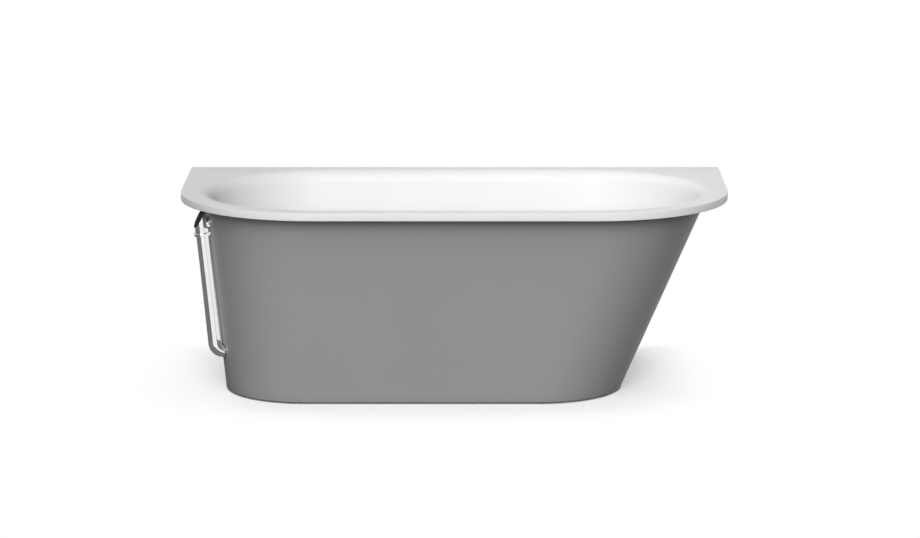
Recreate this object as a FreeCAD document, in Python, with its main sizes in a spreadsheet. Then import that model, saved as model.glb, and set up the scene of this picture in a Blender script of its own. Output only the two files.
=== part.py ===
import FreeCAD, Part
import math
import os
import re
import Sketcher

# Built-in bathtub: a white basin with a slab rim, a grey skirt, an exposed chrome overflow and the parts under it.
# Millimetres and degrees. X runs along the tub, overflow end at -X. -Y faces the room, +Y the wall. Floor at Z = 0.

SIZES = {
    # rim slab
    "rim_length": "1700",
    "rim_depth": "850",
    "total_height": "615",
    "rim_thickness": "24",
    "rim_corner_radius": "420",
    "rim_edge_round": "2",
    # well: the flat deck around it, its depth, and how far its walls run in on the way down, before rounding
    "deck_left": "91",
    "deck_right": "80",
    "deck_front": "83",
    "well_depth": "435",
    "wall_run_left": "53",
    "wall_run_right": "210",
    "wall_run_front": "77",
    "lip_radius": "42",
    "floor_blend": "70",
    "basin_wall": "8",
    "floor_thickness": "11",
    # skirt: how far the rim stands over it, how its walls lean, and how much its corner radii are under the well's
    "overhang_left": "76",
    "overhang_right": "72",
    "overhang_front": "60",
    "skirt_angle_left": "5.94",
    "skirt_angle_right": "23.6",
    "skirt_angle_front": "5.85",
    "corner_ease_top_left": "25",
    "corner_ease_top_right": "18",
    "corner_ease_base_left": "9",
    "corner_ease_base_right": "1",
    "skirt_wall": "7",
    "floor_gap": "5",
    "wall_gap": "2",
    # overflow
    "overflow_azimuth": "19",
    "overflow_below_rim": "77",
    "tube_radius": "20",
    "tube_wall": "1.5",
    "tube_skirt_gap": "7.5",
    "bend_radius": "30",
    "leg_length": "60",
    "head_radius": "21.5",
    "head_face_angle": "35",
    "head_face_drop": "11",
    "head_top_rise": "42",
    "overflow_cap_thickness": "2.5",
    "collar_radius": "26",
    "collar_height": "10",
    "collar_round": "4.5",
    "collar_drop": "28",
    "tube_entry": "8",
    "stub_radius": "17",
    "stub_wall": "3",
    "seat_radius": "24",
    "seat_cut": "1.7",
    "clamp_ring_radius": "23.5",
    "clamp_ring_height": "5",
    "spacer_wall": "7",
    "rosette_radius": "33",
    "rosette_thickness": "4",
    "rosette_standoff": "8",
    "rosette_round": "2.5",
    "rosette_window_width": "9",
    "rosette_hub_wall": "3",
    "rosette_hub_engagement": "14",
    "grommet_wall": "3",
    "grommet_depth": "7",
    "grommet_recess": "4",
    "coupling_length": "66",
    "coupling_wall": "5",
    "clamp_width": "9",
    "clamp_thickness": "1.2",
    "clamp_inset": "8",
    "pipe_wall": "2",
    "pipe_end_gap": "4",
    # waste
    "drain_past_arc": "101",
    "drain_hole_radius": "29",
    "drain_recess_radius": "42",
    "drain_recess_depth": "3",
    "flange_radius": "40",
    "flange_thickness": "2.5",
    "tail_radius": "27",
    "tail_wall": "4",
    "tail_length": "40",
    "upper_seal_thickness": "1.5",
    "lower_seal_thickness": "3",
    "hub_radius": "14",
    "hub_height": "8",
    "hub_drop": "20",
    "spoke_width": "5",
    "waste_flange_radius": "41",
    "waste_flange_height": "6",
    "waste_radius": "33",
    "waste_wall": "4",
    "waste_height": "54",
    "port_rise": "18",
    "waste_floor_thickness": "4",
    "spigot_radius": "20",
    "spigot_wall": "3",
    "spigot_length": "14",
    "port_wall": "3.5",
    "port_length": "46",
    "port_stop": "8",
    "slip_nut_wall": "5",
    "slip_nut_length": "22",
    "slip_nut_lip": "4",
    "slip_seal_length": "7",
    "nut_grip_depth": "1.5",
    "nut_grip_width": "7",
    # push-open plug
    "plug_radius": "30",
    "plug_thickness": "5",
    "plug_round": "3",
    "plug_seal_inner": "23.5",
    "plug_seal_outer": "28",
    "plug_seal_thickness": "2",
    "plug_gap": "0.3",
    "stem_radius": "4",
    "stem_collar_radius": "8",
    "stem_collar_height": "3",
    "stem_length": "64",
    "cartridge_radius": "11",
    "cartridge_wall": "1.5",
    "cartridge_end": "4",
    "cartridge_length": "36",
    "cartridge_drop": "8",
    "spring_radius": "6.4",
    "spring_wire_radius": "0.7",
    "spring_turns": "4",
    "spring_length": "10",
    # trap
    "trap_nut_radius": "30",
    "trap_radius": "46",
    "trap_wall": "3",
    "trap_seal_thickness": "4",
    "trap_neck_height": "5",
    "trap_height": "59",
    "dip_tube_radius": "19",
    "dip_tube_length": "51",
    "trap_cup_radius": "50",
    "cup_overlap": "7",
    "cup_depth": "16",
    "cup_seal_thickness": "2",
    "outlet_drop": "27",
    "outlet_port_start": "40",
    "outlet_port_length": "44",
    "outlet_from_wall": "25",
    "spigot_reach": "50",
    "depth_mark_width": "2",
    "depth_mark_cut": "0.4",
    # support
    "rail_from_drain": "100",
    "rail_before_corner": "8",
    "rail_end_gap": "30",
    "rail_width": "40",
    "rail_height": "30",
    "rail_gauge": "2.5",
    "boss_radius": "23",
    "boss_height": "11",
    "boss_from_middle": "110",
    "insert_radius": "6.5",
    "insert_length": "13",
    "bolt_radius": "4",
    "bolt_head_radius": "7",
    "bolt_head_height": "5",
    "bolt_length": "12",
    "foot_from_rail_end": "60",
    "foot_screw_radius": "5",
    "foot_screw_stand": "6",
    "foot_nut_radius": "9.5",
    "foot_nut_height": "6",
    "foot_hex_height": "7",
    "foot_hex_gap": "0.5",
    "pad_radius": "26",
    "pad_neck_radius": "12",
    "pad_height": "16",
    "pad_rim_height": "5",
    "pad_socket_floor": "5",
    # ties from the rails to the skirt, and brackets at the wall
    "tie_width": "30",
    "tie_gauge": "3",
    "tie_past_hole": "12",
    "tie_drop": "50",
    "tie_hole_from_end": "17",
    "glue_gap": "0.4",
    "tie_bolt_radius": "3",
    "tie_bolt_head_radius": "5.5",
    "tie_bolt_head_height": "4",
    "bracket_from_centre": "420",
    "bracket_length": "120",
    "bracket_depth": "50",
    "bracket_drop": "55",
    "bracket_gauge": "3",
    "bracket_hole_spacing": "70",
    "bracket_hole_radius": "4.25",
    "bracket_hole_drop": "32",
    "bracket_screw_inset": "22",
    "screw_radius": "3",
    "screw_head_radius": "6",
    "screw_head_height": "3.5",
    "screw_length": "13",
    # fits and cuts
    "sliding_fit": "0.15",
    "loose_fit": "0.5",
    "overrun": "5",
}
FULL_TURN = 360
QUARTER = 90
HEX_SIDES = 6
GRIPS = 10
NEAR = 0.01

doc = FreeCAD.newDocument("bathtub")
sheet = doc.addObject("Spreadsheet::Sheet", "Sizes")
for row, (name, size) in enumerate(SIZES.items(), start=1):
    sheet.set(f"A{row}", name)
    sheet.set(f"B{row}", size)
    sheet.setAlias(f"B{row}", name)
places = doc.addObject("Spreadsheet::Sheet", "Places")
PLACES = {}
NODES = {}
doc.recompute()


def bound(text):
    """Name the sheet of every size in a formula."""

    def prefix(match):
        word = match.group()
        if word in SIZES:
            return "Sizes." + word
        if word in PLACES:
            return "Places." + word
        return word

    return re.sub(r"[a-z][a-z_]*", prefix, text)


def value(text):
    return float(sheet.evalExpression(bound(text)))


def keep_place(name, number):
    """Keep a worked-out place in the second sheet, so that placements can be bound to it."""
    row = len(PLACES) + 1
    places.set(f"A{row}", name)
    places.set(f"B{row}", f"{number:.6f}")
    places.setAlias(f"B{row}", name)
    PLACES[name] = number
    doc.recompute()


def new_body(name):
    body = doc.addObject("PartDesign::Body", name)
    body.Label = name
    return body


def sketch_on(body, role, offset="0"):
    sketch = body.newObject("Sketcher::SketchObject", body.Name + "Sketch")
    plane = next(f for f in body.Origin.OriginFeatures if f.Role == role)
    sketch.AttachmentSupport = [(plane, "")]
    sketch.MapMode = "FlatFace"
    sketch.setExpression("AttachmentOffset.Base.z", bound(offset))
    return sketch


def bind_constraint(sketch, constraint, text):
    index = sketch.addConstraint(constraint)
    sketch.setExpression(f"Constraints[{index}]", bound(text))


def fix_point(sketch, geometry, vertex, across, along):
    for kind, text in (("DistanceX", across), ("DistanceY", along)):
        bind_constraint(sketch, Sketcher.Constraint(kind, -1, 1, geometry, vertex, value(text)), text)


def point(across, along):
    return FreeCAD.Vector(value(across), value(along), 0)


def polygon(sketch, corners):
    first = sketch.GeometryCount
    last = first + len(corners) - 1
    ends = corners[1:] + corners[:1]
    for start, end in zip(corners, ends):
        sketch.addGeometry(Part.LineSegment(point(*start), point(*end)))
    for index, corner in enumerate(corners, start=first):
        before = last if index == first else index - 1
        sketch.addConstraint(Sketcher.Constraint("Coincident", before, 2, index, 1))
        fix_point(sketch, index, 1, *corner)


def circle(sketch, radius, across="0", along="0"):
    shape = Part.Circle(point(across, along), FreeCAD.Vector(0, 0, 1), value(radius))
    index = sketch.addGeometry(shape)
    fix_point(sketch, index, 3, across, along)
    bind_constraint(sketch, Sketcher.Constraint("Radius", index, value(radius)), radius)


def arc(sketch, radius, across, along, start, end):
    round_line = Part.Circle(point(across, along), FreeCAD.Vector(0, 0, 1), value(radius))
    index = sketch.addGeometry(Part.ArcOfCircle(round_line, math.radians(start), math.radians(end)))
    fix_point(sketch, index, 3, across, along)
    bind_constraint(sketch, Sketcher.Constraint("Radius", index, value(radius)), radius)
    return index


def join_tangent(sketch, *pairs):
    for first, first_end, second, second_end in pairs:
        sketch.addConstraint(Sketcher.Constraint("Tangent", first, first_end, second, second_end))


def line(sketch, start, end):
    return sketch.addGeometry(Part.LineSegment(point(*start), point(*end)))


def stadium(sketch, left, right, half_width):
    """Two half-round ends and two straight sides, level with the tub's middle line."""
    left_centre = f"-({left}) + ({half_width})"
    right_centre = f"({right}) - ({half_width})"
    low = f"-({half_width})"
    left_end = arc(sketch, half_width, left_centre, "0", QUARTER, 3 * QUARTER)
    front = line(sketch, (left_centre, low), (right_centre, low))
    right_end = arc(sketch, half_width, right_centre, "0", -QUARTER, QUARTER)
    back = line(sketch, (right_centre, half_width), (left_centre, half_width))
    join_tangent(
        sketch,
        (left_end, 2, front, 1),
        (front, 2, right_end, 1),
        (right_end, 2, back, 1),
        (back, 2, left_end, 1),
    )


def rounded_front(sketch, left, right, front, back, left_radius, right_radius):
    """Straight at the wall, with two round corners at the front."""
    left_centre = (f"-({left}) + ({left_radius})", f"-({front}) + ({left_radius})")
    right_centre = (f"({right}) - ({right_radius})", f"-({front}) + ({right_radius})")
    left_side = line(sketch, (f"-({left})", back), (f"-({left})", left_centre[1]))
    left_arc = arc(sketch, left_radius, *left_centre, 2 * QUARTER, 3 * QUARTER)
    front_side = line(sketch, (left_centre[0], f"-({front})"), (right_centre[0], f"-({front})"))
    right_arc = arc(sketch, right_radius, *right_centre, -QUARTER, 0)
    right_side = line(sketch, (right, right_centre[1]), (right, back))
    back_side = line(sketch, (right, back), (f"-({left})", back))
    join_tangent(
        sketch,
        (left_side, 2, left_arc, 1),
        (left_arc, 2, front_side, 1),
        (front_side, 2, right_arc, 1),
        (right_arc, 2, right_side, 1),
    )
    for side, following in ((right_side, back_side), (back_side, left_side)):
        sketch.addConstraint(Sketcher.Constraint("Coincident", side, 2, following, 1))
    fix_point(sketch, left_side, 1, f"-({left})", back)
    fix_point(sketch, right_side, 2, right, back)


def feature(body, kind, sketch):
    item = body.newObject("PartDesign::" + kind, body.Name + kind)
    item.Profile = sketch
    return item


def extrude(body, kind, sketch, length, reverse=False, both_ways=False):
    item = feature(body, kind, sketch)
    item.setExpression("Length", bound(length))
    item.Reversed = reverse
    if both_ways:
        item.SideType = "Symmetric"
    return item


def loft(body, kind, first, second):
    item = feature(body, kind + "Loft", first)
    item.Sections = [second]
    item.Ruled = True
    return item


def round_edges(body, radius, wanted):
    doc.recompute()
    base = body.Tip
    names = [f"Edge{i}" for i, edge in enumerate(base.Shape.Edges, start=1) if wanted(edge)]
    item = body.newObject("PartDesign::Fillet", body.Name + "Round")
    item.Base = (base, names)
    item.setExpression("Radius", bound(radius))


def level_at(edge, height):
    box = edge.BoundBox
    return abs(box.ZMin - height) < NEAR and abs(box.ZMax - height) < NEAR


def place(item, x="0", y="0", z="0", turn="0", tilt="0"):
    turning = f"rotation(vector(0; 0; 1); {turn}) * rotation(vector(0; 1; 0); {tilt})"
    item.setExpression("Placement", bound(f"placement(vector({x}; {y}; {z}); {turning})"))
    return item


def turned(name, profile):
    """A piece turned about its own Z axis; the profile holds radius and height pairs."""
    body = new_body(name)
    sketch = sketch_on(body, "XZ_Plane")
    polygon(sketch, profile)
    spin = feature(body, "Revolution", sketch)
    spin.ReferenceAxis = (sketch, ["V_Axis"])
    spin.Angle = FULL_TURN
    return body


def box_profile(inner, outer, low, high):
    return [(inner, low), (outer, low), (outer, high), (inner, high)]


def ring(name, inner, outer, low, high):
    return turned(name, box_profile(inner, outer, low, high))


def prism(name, sides, radius, bore, low, high):
    """A nut or a bolt head: an even-sided prism with a bore."""
    body = new_body(name)
    sketch = sketch_on(body, "XY_Plane", low)
    step = FULL_TURN / sides
    corners = []
    for side in range(sides):
        corners.append((f"({radius}) * cos({side * step})", f"({radius}) * sin({side * step})"))
    polygon(sketch, corners)
    if bore:
        circle(sketch, bore)
    extrude(body, "Pad", sketch, f"({high}) - ({low})")
    return body


def group(name, members):
    item = doc.addObject("Part::Compound", name)
    item.Links = members
    return item


def node(name, item):
    item.Label = name
    NODES[name] = item
    return item


def tool(name, radius, low, high):
    """A solid pin about Z that cuts a round hole."""
    return turned(name, box_profile("0", radius, low, high))


def cut_away(name, blank, tools):
    item = doc.addObject("Part::Cut", name)
    item.Base = blank
    item.Tool = tools[0]
    if len(tools) > 1:
        joined = doc.addObject("Part::MultiFuse", name + "Tools")
        joined.Shapes = tools
        item.Tool = joined
    return item


# Outlines and heights that several pieces share.
WELL_LEFT = "(rim_length / 2 - deck_left)"
WELL_RIGHT = "(rim_length / 2 - deck_right)"
WELL_HALF = "(rim_depth / 2 - deck_front)"
FLOOR_LEFT = f"({WELL_LEFT} - wall_run_left)"
FLOOR_RIGHT = f"({WELL_RIGHT} - wall_run_right)"
FLOOR_HALF = f"({WELL_HALF} - wall_run_front)"
SKIRT_LEFT = {"top": "(rim_length / 2 - overhang_left)"}
SKIRT_RIGHT = {"top": "(rim_length / 2 - overhang_right)"}
SKIRT_FRONT = {"top": "(rim_depth / 2 - overhang_front)"}
SKIRT_FALL = "(total_height - rim_thickness - floor_gap)"
SKIRT_LEFT["base"] = f"({SKIRT_LEFT['top']} - {SKIRT_FALL} * tan(skirt_angle_left))"
SKIRT_RIGHT["base"] = f"({SKIRT_RIGHT['top']} - {SKIRT_FALL} * tan(skirt_angle_right))"
SKIRT_FRONT["base"] = f"({SKIRT_FRONT['top']} - {SKIRT_FALL} * tan(skirt_angle_front))"
CORNER_LEFT = {
    "top": f"({WELL_HALF} - corner_ease_top_left)",
    "base": f"({FLOOR_HALF} - corner_ease_base_left)",
}
CORNER_RIGHT = {
    "top": f"({WELL_HALF} - corner_ease_top_right)",
    "base": f"({FLOOR_HALF} - corner_ease_base_right)",
}
RIM_UNDER = "(total_height - rim_thickness)"
FLOOR_TOP = "(total_height - well_depth)"
FLOOR_UNDER = "(total_height - well_depth - floor_thickness)"
RAIL_TOP = f"({FLOOR_UNDER} - boss_height)"
WEB_UNDER = f"({RAIL_TOP} - rail_gauge)"
STUB_HEIGHT = "(total_height - overflow_below_rim)"
WASTE_TOP = f"({FLOOR_UNDER} - lower_seal_thickness)"
WASTE_FLOOR = f"({WASTE_TOP} - waste_height)"
SPIGOT_END = f"({WASTE_FLOOR} - spigot_length)"
LEG_HEIGHT = f"({WASTE_FLOOR} + port_rise)"
DRAIN_X = f"-({FLOOR_LEFT} - {FLOOR_HALF} - drain_past_arc)"


# Places on the slanting walls, met by a level line from the waste outwards at the overflow's azimuth.
def ray_distance(centre_x, centre_y, radius):
    angle = math.radians(value("overflow_azimuth"))
    from_x = value(DRAIN_X) - centre_x
    from_y = -centre_y
    along = from_x * math.cos(angle) + from_y * math.sin(angle)
    return along + math.sqrt(along**2 - from_x**2 - from_y**2 + radius**2)


def between(top, base, share):
    return value(top) + (value(base) - value(top)) * share


def skirt_distance(height):
    share = (value(RIM_UNDER) - height) / (value(RIM_UNDER) - value("floor_gap"))
    radius = between(CORNER_LEFT["top"], CORNER_LEFT["base"], share)
    centre_x = radius - between(SKIRT_LEFT["top"], SKIRT_LEFT["base"], share)
    centre_y = radius - between(SKIRT_FRONT["top"], SKIRT_FRONT["base"], share)
    return ray_distance(centre_x, centre_y, radius)


def well_distance(height):
    share = (value("total_height") - height) / value("well_depth")
    radius = between(WELL_HALF, FLOOR_HALF, share)
    return ray_distance(radius - between(WELL_LEFT, FLOOR_LEFT, share), 0, radius)


azimuth = math.radians(value("overflow_azimuth"))
stub_height = value(STUB_HEIGHT)
leg_height = value(LEG_HEIGHT)
wall_at_stub = skirt_distance(stub_height)
wall_at_leg = skirt_distance(leg_height)
lean = math.atan((wall_at_stub - wall_at_leg) / (stub_height - leg_height))
standoff = value("tube_radius + tube_skirt_gap")
axis_distance = wall_at_stub + standoff * math.cos(lean)
axis_height = stub_height - standoff * math.sin(lean)
bend_height = leg_height + value("bend_radius") * (1 - math.sin(lean))
bend_drop = (axis_height - bend_height) / math.cos(lean)
bend_end = axis_distance - bend_drop * math.sin(lean) - value("bend_radius") * math.cos(lean)
keep_place("overflow_lean", math.degrees(lean))
keep_place("overflow_x", value(DRAIN_X) - axis_distance * math.cos(azimuth))
keep_place("overflow_y", -axis_distance * math.sin(azimuth))
keep_place("overflow_z", axis_height)
keep_place("bend_drop", bend_drop)
keep_place("leg_start", bend_end)
keep_place("leg_wall", wall_at_leg)
keep_place("tube_axis_offset", standoff)
keep_place("seat_offset", (axis_distance - well_distance(stub_height)) / math.cos(lean))
SEAT = "(seat_offset - seat_cut)"
OUTWARD = "180 + overflow_azimuth"


def on_overflow(item, tilt="overflow_lean"):
    """Place a piece with its origin where the stub's axis meets the tube's."""
    return place(item, "overflow_x", "overflow_y", "overflow_z", OUTWARD, tilt)


def on_stub(item):
    """The same origin, with the piece's Z axis along the stub, outwards."""
    return on_overflow(item, "overflow_lean + 90")


def on_leg(item):
    """Origin on the waste's axis, Z axis level and outwards along the overflow's lower leg."""
    return place(item, DRAIN_X, "0", LEG_HEIGHT, OUTWARD, "90")


def on_waste(item):
    return place(item, DRAIN_X)


# Basin: rim slab, well with its soft lip and floor blend, bosses under the floor for the rails.
def well_outline(sketch, depth, extra):
    def drawn_in(top, base):
        return f"{top} - ({top} - {base}) * ({depth}) / well_depth + ({extra})"

    stadium(
        sketch,
        drawn_in(WELL_LEFT, FLOOR_LEFT),
        drawn_in(WELL_RIGHT, FLOOR_RIGHT),
        drawn_in(WELL_HALF, FLOOR_HALF),
    )


basin_blank = new_body("basin_blank")
rim_sketch = sketch_on(basin_blank, "XY_Plane", RIM_UNDER)
rounded_front(
    rim_sketch,
    "rim_length / 2",
    "rim_length / 2",
    "rim_depth / 2",
    "rim_depth / 2",
    "rim_corner_radius",
    "rim_corner_radius",
)
extrude(basin_blank, "Pad", rim_sketch, "rim_thickness")
shell_top = sketch_on(basin_blank, "XY_Plane", RIM_UNDER)
well_outline(shell_top, "rim_thickness", "basin_wall")
shell_floor = sketch_on(basin_blank, "XY_Plane", FLOOR_UNDER)
well_outline(shell_floor, "well_depth + floor_thickness", "basin_wall")
loft(basin_blank, "Additive", shell_top, shell_floor)
well_top = sketch_on(basin_blank, "XY_Plane", "total_height")
well_outline(well_top, "0", "0")
well_floor = sketch_on(basin_blank, "XY_Plane", FLOOR_TOP)
well_outline(well_floor, "well_depth", "0")
loft(basin_blank, "Subtractive", well_top, well_floor)


def near_well(edge):
    box = edge.BoundBox
    return max(-box.YMin, box.YMax) < value(f"{WELL_HALF} + basin_wall")


def on_lip(edge):
    return level_at(edge, value("total_height")) and near_well(edge)


def on_rim_outline(edge):
    at_rim = level_at(edge, value("total_height")) or level_at(edge, value(RIM_UNDER))
    at_wall = edge.BoundBox.YMin > value("rim_depth / 2") - NEAR
    return at_rim and not at_wall and not near_well(edge)


round_edges(basin_blank, "rim_edge_round", on_rim_outline)
round_edges(basin_blank, "lip_radius", on_lip)
round_edges(basin_blank, "floor_blend", lambda edge: level_at(edge, value(FLOOR_TOP)))
round_edges(basin_blank, "floor_blend + basin_wall", lambda edge: level_at(edge, value(FLOOR_UNDER)))
RAIL_CENTRES = (
    f"{DRAIN_X} + rail_from_drain",
    f"{SKIRT_RIGHT['base']} - {CORNER_RIGHT['base']} - rail_before_corner",
)
SIDES = ("-", "")
boss_sketch = sketch_on(basin_blank, "XY_Plane", RAIL_TOP)
insert_sketch = sketch_on(basin_blank, "XY_Plane", RAIL_TOP)
for rail in RAIL_CENTRES:
    for side in SIDES:
        circle(boss_sketch, "boss_radius", rail, side + "boss_from_middle")
        circle(insert_sketch, "insert_radius", rail, side + "boss_from_middle")
extrude(basin_blank, "Pad", boss_sketch, "boss_height")
extrude(basin_blank, "Pocket", insert_sketch, "insert_length", reverse=True)
BRACKET_SCREW_Y = "rim_depth / 2 - bracket_depth + bracket_screw_inset"
screw_places = []
for end in SIDES:
    for side in SIDES:
        screw_places.append((f"{end}bracket_from_centre + {side}bracket_hole_spacing / 2", BRACKET_SCREW_Y))
screw_sketch = sketch_on(basin_blank, "XY_Plane", RIM_UNDER)
for screw_place in screw_places:
    circle(screw_sketch, "screw_radius + sliding_fit", *screw_place)
extrude(basin_blank, "Pocket", screw_sketch, "screw_length", reverse=True)
seat_tool = tool("seat_tool", "seat_radius", "-(seat_offset + seat_radius)", f"-{SEAT}")
stub_tool = tool("stub_tool", "stub_radius + loose_fit", "-(seat_offset + overrun)", "0")
recess_tool = tool("recess_tool", "drain_recess_radius", f"{FLOOR_TOP} - drain_recess_depth", "total_height")
drain_tool = tool("drain_tool", "drain_hole_radius", f"{FLOOR_UNDER} - overrun", "total_height")
basin_tools = [on_stub(seat_tool), on_stub(stub_tool), on_waste(recess_tool), on_waste(drain_tool)]
node("basin", cut_away("basin", basin_blank, basin_tools))


# Skirt: a shell with straight slanting walls, open at the wall, with holes for the overflow's stub and leg.
def skirt_outline(sketch, level, inset, right_inset, back):
    rounded_front(
        sketch,
        f"{SKIRT_LEFT[level]} - ({inset})",
        f"{SKIRT_RIGHT[level]} - ({right_inset})",
        f"{SKIRT_FRONT[level]} - ({inset})",
        back,
        f"{CORNER_LEFT[level]} - ({inset})",
        f"{CORNER_RIGHT[level]} - ({inset})",
    )


SKIRT_BACK = "rim_depth / 2 - wall_gap"
RIGHT_WALL = "skirt_wall / cos(skirt_angle_right)"
skirt_blank = new_body("skirt_blank")
skins = []
for inset, right_inset, back in (("0", "0", SKIRT_BACK), ("skirt_wall", RIGHT_WALL, SKIRT_BACK + " + overrun")):
    for level, height in (("top", RIM_UNDER), ("base", "floor_gap")):
        skin = sketch_on(skirt_blank, "XY_Plane", height)
        skirt_outline(skin, level, inset, right_inset, back)
        skins.append(skin)
loft(skirt_blank, "Additive", skins[0], skins[1])
loft(skirt_blank, "Subtractive", skins[2], skins[3])
skirt_stub_tool = tool("skirt_stub_tool", "stub_radius + loose_fit", "-seat_offset", "0")
leg_tool = tool("leg_tool", "tube_radius + grommet_wall", "leg_wall / 2", "leg_wall + leg_length")
node("skirt", cut_away("skirt", skirt_blank, [on_stub(skirt_stub_tool), on_leg(leg_tool)]))


# Overflow: head cut at a slant with a flat top, its black cap, the collar and the bent tube.
def slant_height(across, lift="0"):
    return f"({lift}) / sin(head_face_angle) - head_face_drop + (head_radius - ({across})) / tan(head_face_angle)"


def fold_across(lift):
    """Where the slanted face, lifted, meets the flat top."""
    rise = f"(head_top_rise + {lift} + head_face_drop - ({lift}) / sin(head_face_angle))"
    return f"head_radius - {rise} * tan(head_face_angle)"


FACE_REACH = "(head_radius + overrun)"
HEAD_TOP = "head_top_rise + overflow_cap_thickness"


def roof_cut(body, lift, above):
    sketch = sketch_on(body, "XZ_Plane")
    limit = HEAD_TOP + " + 2 * overrun" if above else "-collar_drop - overrun"
    corners = [
        (FACE_REACH, slant_height(FACE_REACH, lift)),
        (fold_across(lift), f"head_top_rise + {lift}"),
        ("-" + FACE_REACH, f"head_top_rise + {lift}"),
        ("-" + FACE_REACH, limit),
        (FACE_REACH, limit),
    ]
    polygon(sketch, corners)
    extrude(body, "Pocket", sketch, f"4 * {FACE_REACH}", both_ways=True)


def upright_pin(body, radius, low, high, kind="Pad"):
    sketch = sketch_on(body, "XY_Plane", low)
    circle(sketch, radius)
    extrude(body, kind, sketch, f"({high}) - ({low})", reverse=kind == "Pocket")


STUB_END = f"({SEAT} + upper_seal_thickness + clamp_ring_height)"
STUB_BORE = "stub_radius - stub_wall"
head = new_body("overflow_head")
upright_pin(head, "head_radius", "-collar_drop", HEAD_TOP)
stub_sketch = sketch_on(head, "YZ_Plane", "-" + STUB_END)
circle(stub_sketch, "stub_radius")
extrude(head, "Pad", stub_sketch, STUB_END)
upright_pin(head, "tube_radius + sliding_fit", "-collar_drop", HEAD_TOP, "Pocket")
bore_sketch = sketch_on(head, "YZ_Plane", "-" + STUB_END)
circle(bore_sketch, STUB_BORE)
extrude(head, "Pocket", bore_sketch, STUB_END, reverse=True)
roof_cut(head, "0", above=True)
node("overflow_head", on_overflow(head))

cap = new_body("overflow_cap")
upright_pin(cap, "head_radius", "-collar_drop", HEAD_TOP)
roof_cut(cap, "overflow_cap_thickness", above=True)
roof_cut(cap, "0", above=False)
node("overflow_cap", on_overflow(cap))

collar = ring(
    "overflow_collar",
    "tube_radius + sliding_fit",
    "collar_radius",
    "-collar_drop - collar_height",
    "-collar_drop",
)
round_edges(collar, "collar_round", lambda edge: edge.BoundBox.XLength > 2 * value("collar_radius") - NEAR)
node("overflow_collar", on_overflow(collar))

tube = new_body("overflow_tube")
TUBE_TOP = "-collar_drop + tube_entry"
spine = sketch_on(tube, "XZ_Plane")
run = line(spine, ("0", TUBE_TOP), ("0", "-bend_drop"))
bend = arc(spine, "bend_radius", "-bend_radius", "-bend_drop", -QUARTER + math.degrees(lean), 0)
LEG_END = (
    "-bend_radius + bend_radius * sin(overflow_lean) - leg_length * cos(overflow_lean)",
    "-bend_drop - bend_radius * cos(overflow_lean) - leg_length * sin(overflow_lean)",
)
BEND_END = (
    "-bend_radius + bend_radius * sin(overflow_lean)",
    "-bend_drop - bend_radius * cos(overflow_lean)",
)
leg = line(spine, BEND_END, LEG_END)
fix_point(spine, run, 1, "0", TUBE_TOP)
fix_point(spine, leg, 2, *LEG_END)
join_tangent(spine, (run, 2, bend, 2), (bend, 1, leg, 1))
section = sketch_on(tube, "XY_Plane", TUBE_TOP)
circle(section, "tube_radius")
circle(section, "tube_radius - tube_wall")
sweep = feature(tube, "AdditivePipe", section)
sweep.Spine = (spine, ["Edge1", "Edge2", "Edge3"])
node("overflow_tube", on_overflow(tube))

# Overflow through the two walls: spacer between them, seal and clamp ring in the well, rosette over the opening.
spacer_blank = ring(
    "spacer_blank",
    "stub_radius + loose_fit",
    "stub_radius + loose_fit + spacer_wall",
    "-(seat_offset - basin_wall / 2)",
    "-(tube_axis_offset + skirt_wall / 2)",
)
node("overflow_spacer", cut_away("overflow_spacer", on_stub(spacer_blank), [basin_blank, skirt_blank]))
clamp_low = f"-({SEAT} + upper_seal_thickness)"
inner_seal = ring("overflow_seal", "stub_radius + loose_fit", "clamp_ring_radius", clamp_low, f"-{SEAT}")
node("overflow_seal", on_stub(inner_seal))
clamp_ring = ring("clamp_ring", "stub_radius + sliding_fit", "clamp_ring_radius", f"-{STUB_END}", clamp_low)
node("overflow_clamp_ring", on_stub(clamp_ring))
PLATE_OUT = f"-({STUB_END} + rosette_standoff)"
PLATE_IN = f"-({STUB_END} + rosette_standoff + rosette_thickness)"
HUB_RADIUS = f"({STUB_BORE} - sliding_fit)"
rosette = turned(
    "overflow_rosette",
    [
        ("0", PLATE_IN),
        ("rosette_radius", PLATE_IN),
        ("rosette_radius", PLATE_OUT),
        (HUB_RADIUS, PLATE_OUT),
        (HUB_RADIUS, f"-{STUB_END} + rosette_hub_engagement"),
        (f"{HUB_RADIUS} - rosette_hub_wall", f"-{STUB_END} + rosette_hub_engagement"),
        (f"{HUB_RADIUS} - rosette_hub_wall", PLATE_OUT),
        ("0", PLATE_OUT),
    ],
)
for role in ("XZ_Plane", "YZ_Plane"):
    window = sketch_on(rosette, role)
    half = "rosette_window_width / 2"
    polygon(window, box_profile("-" + half, half, PLATE_OUT, f"-{STUB_END} + loose_fit"))
    extrude(rosette, "Pocket", window, "4 * rosette_radius", both_ways=True)
round_edges(
    rosette,
    "rosette_round",
    lambda edge: level_at(edge, value(PLATE_IN)) and edge.BoundBox.XLength > value("rosette_radius"),
)
node("overflow_rosette", on_stub(rosette))

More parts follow.
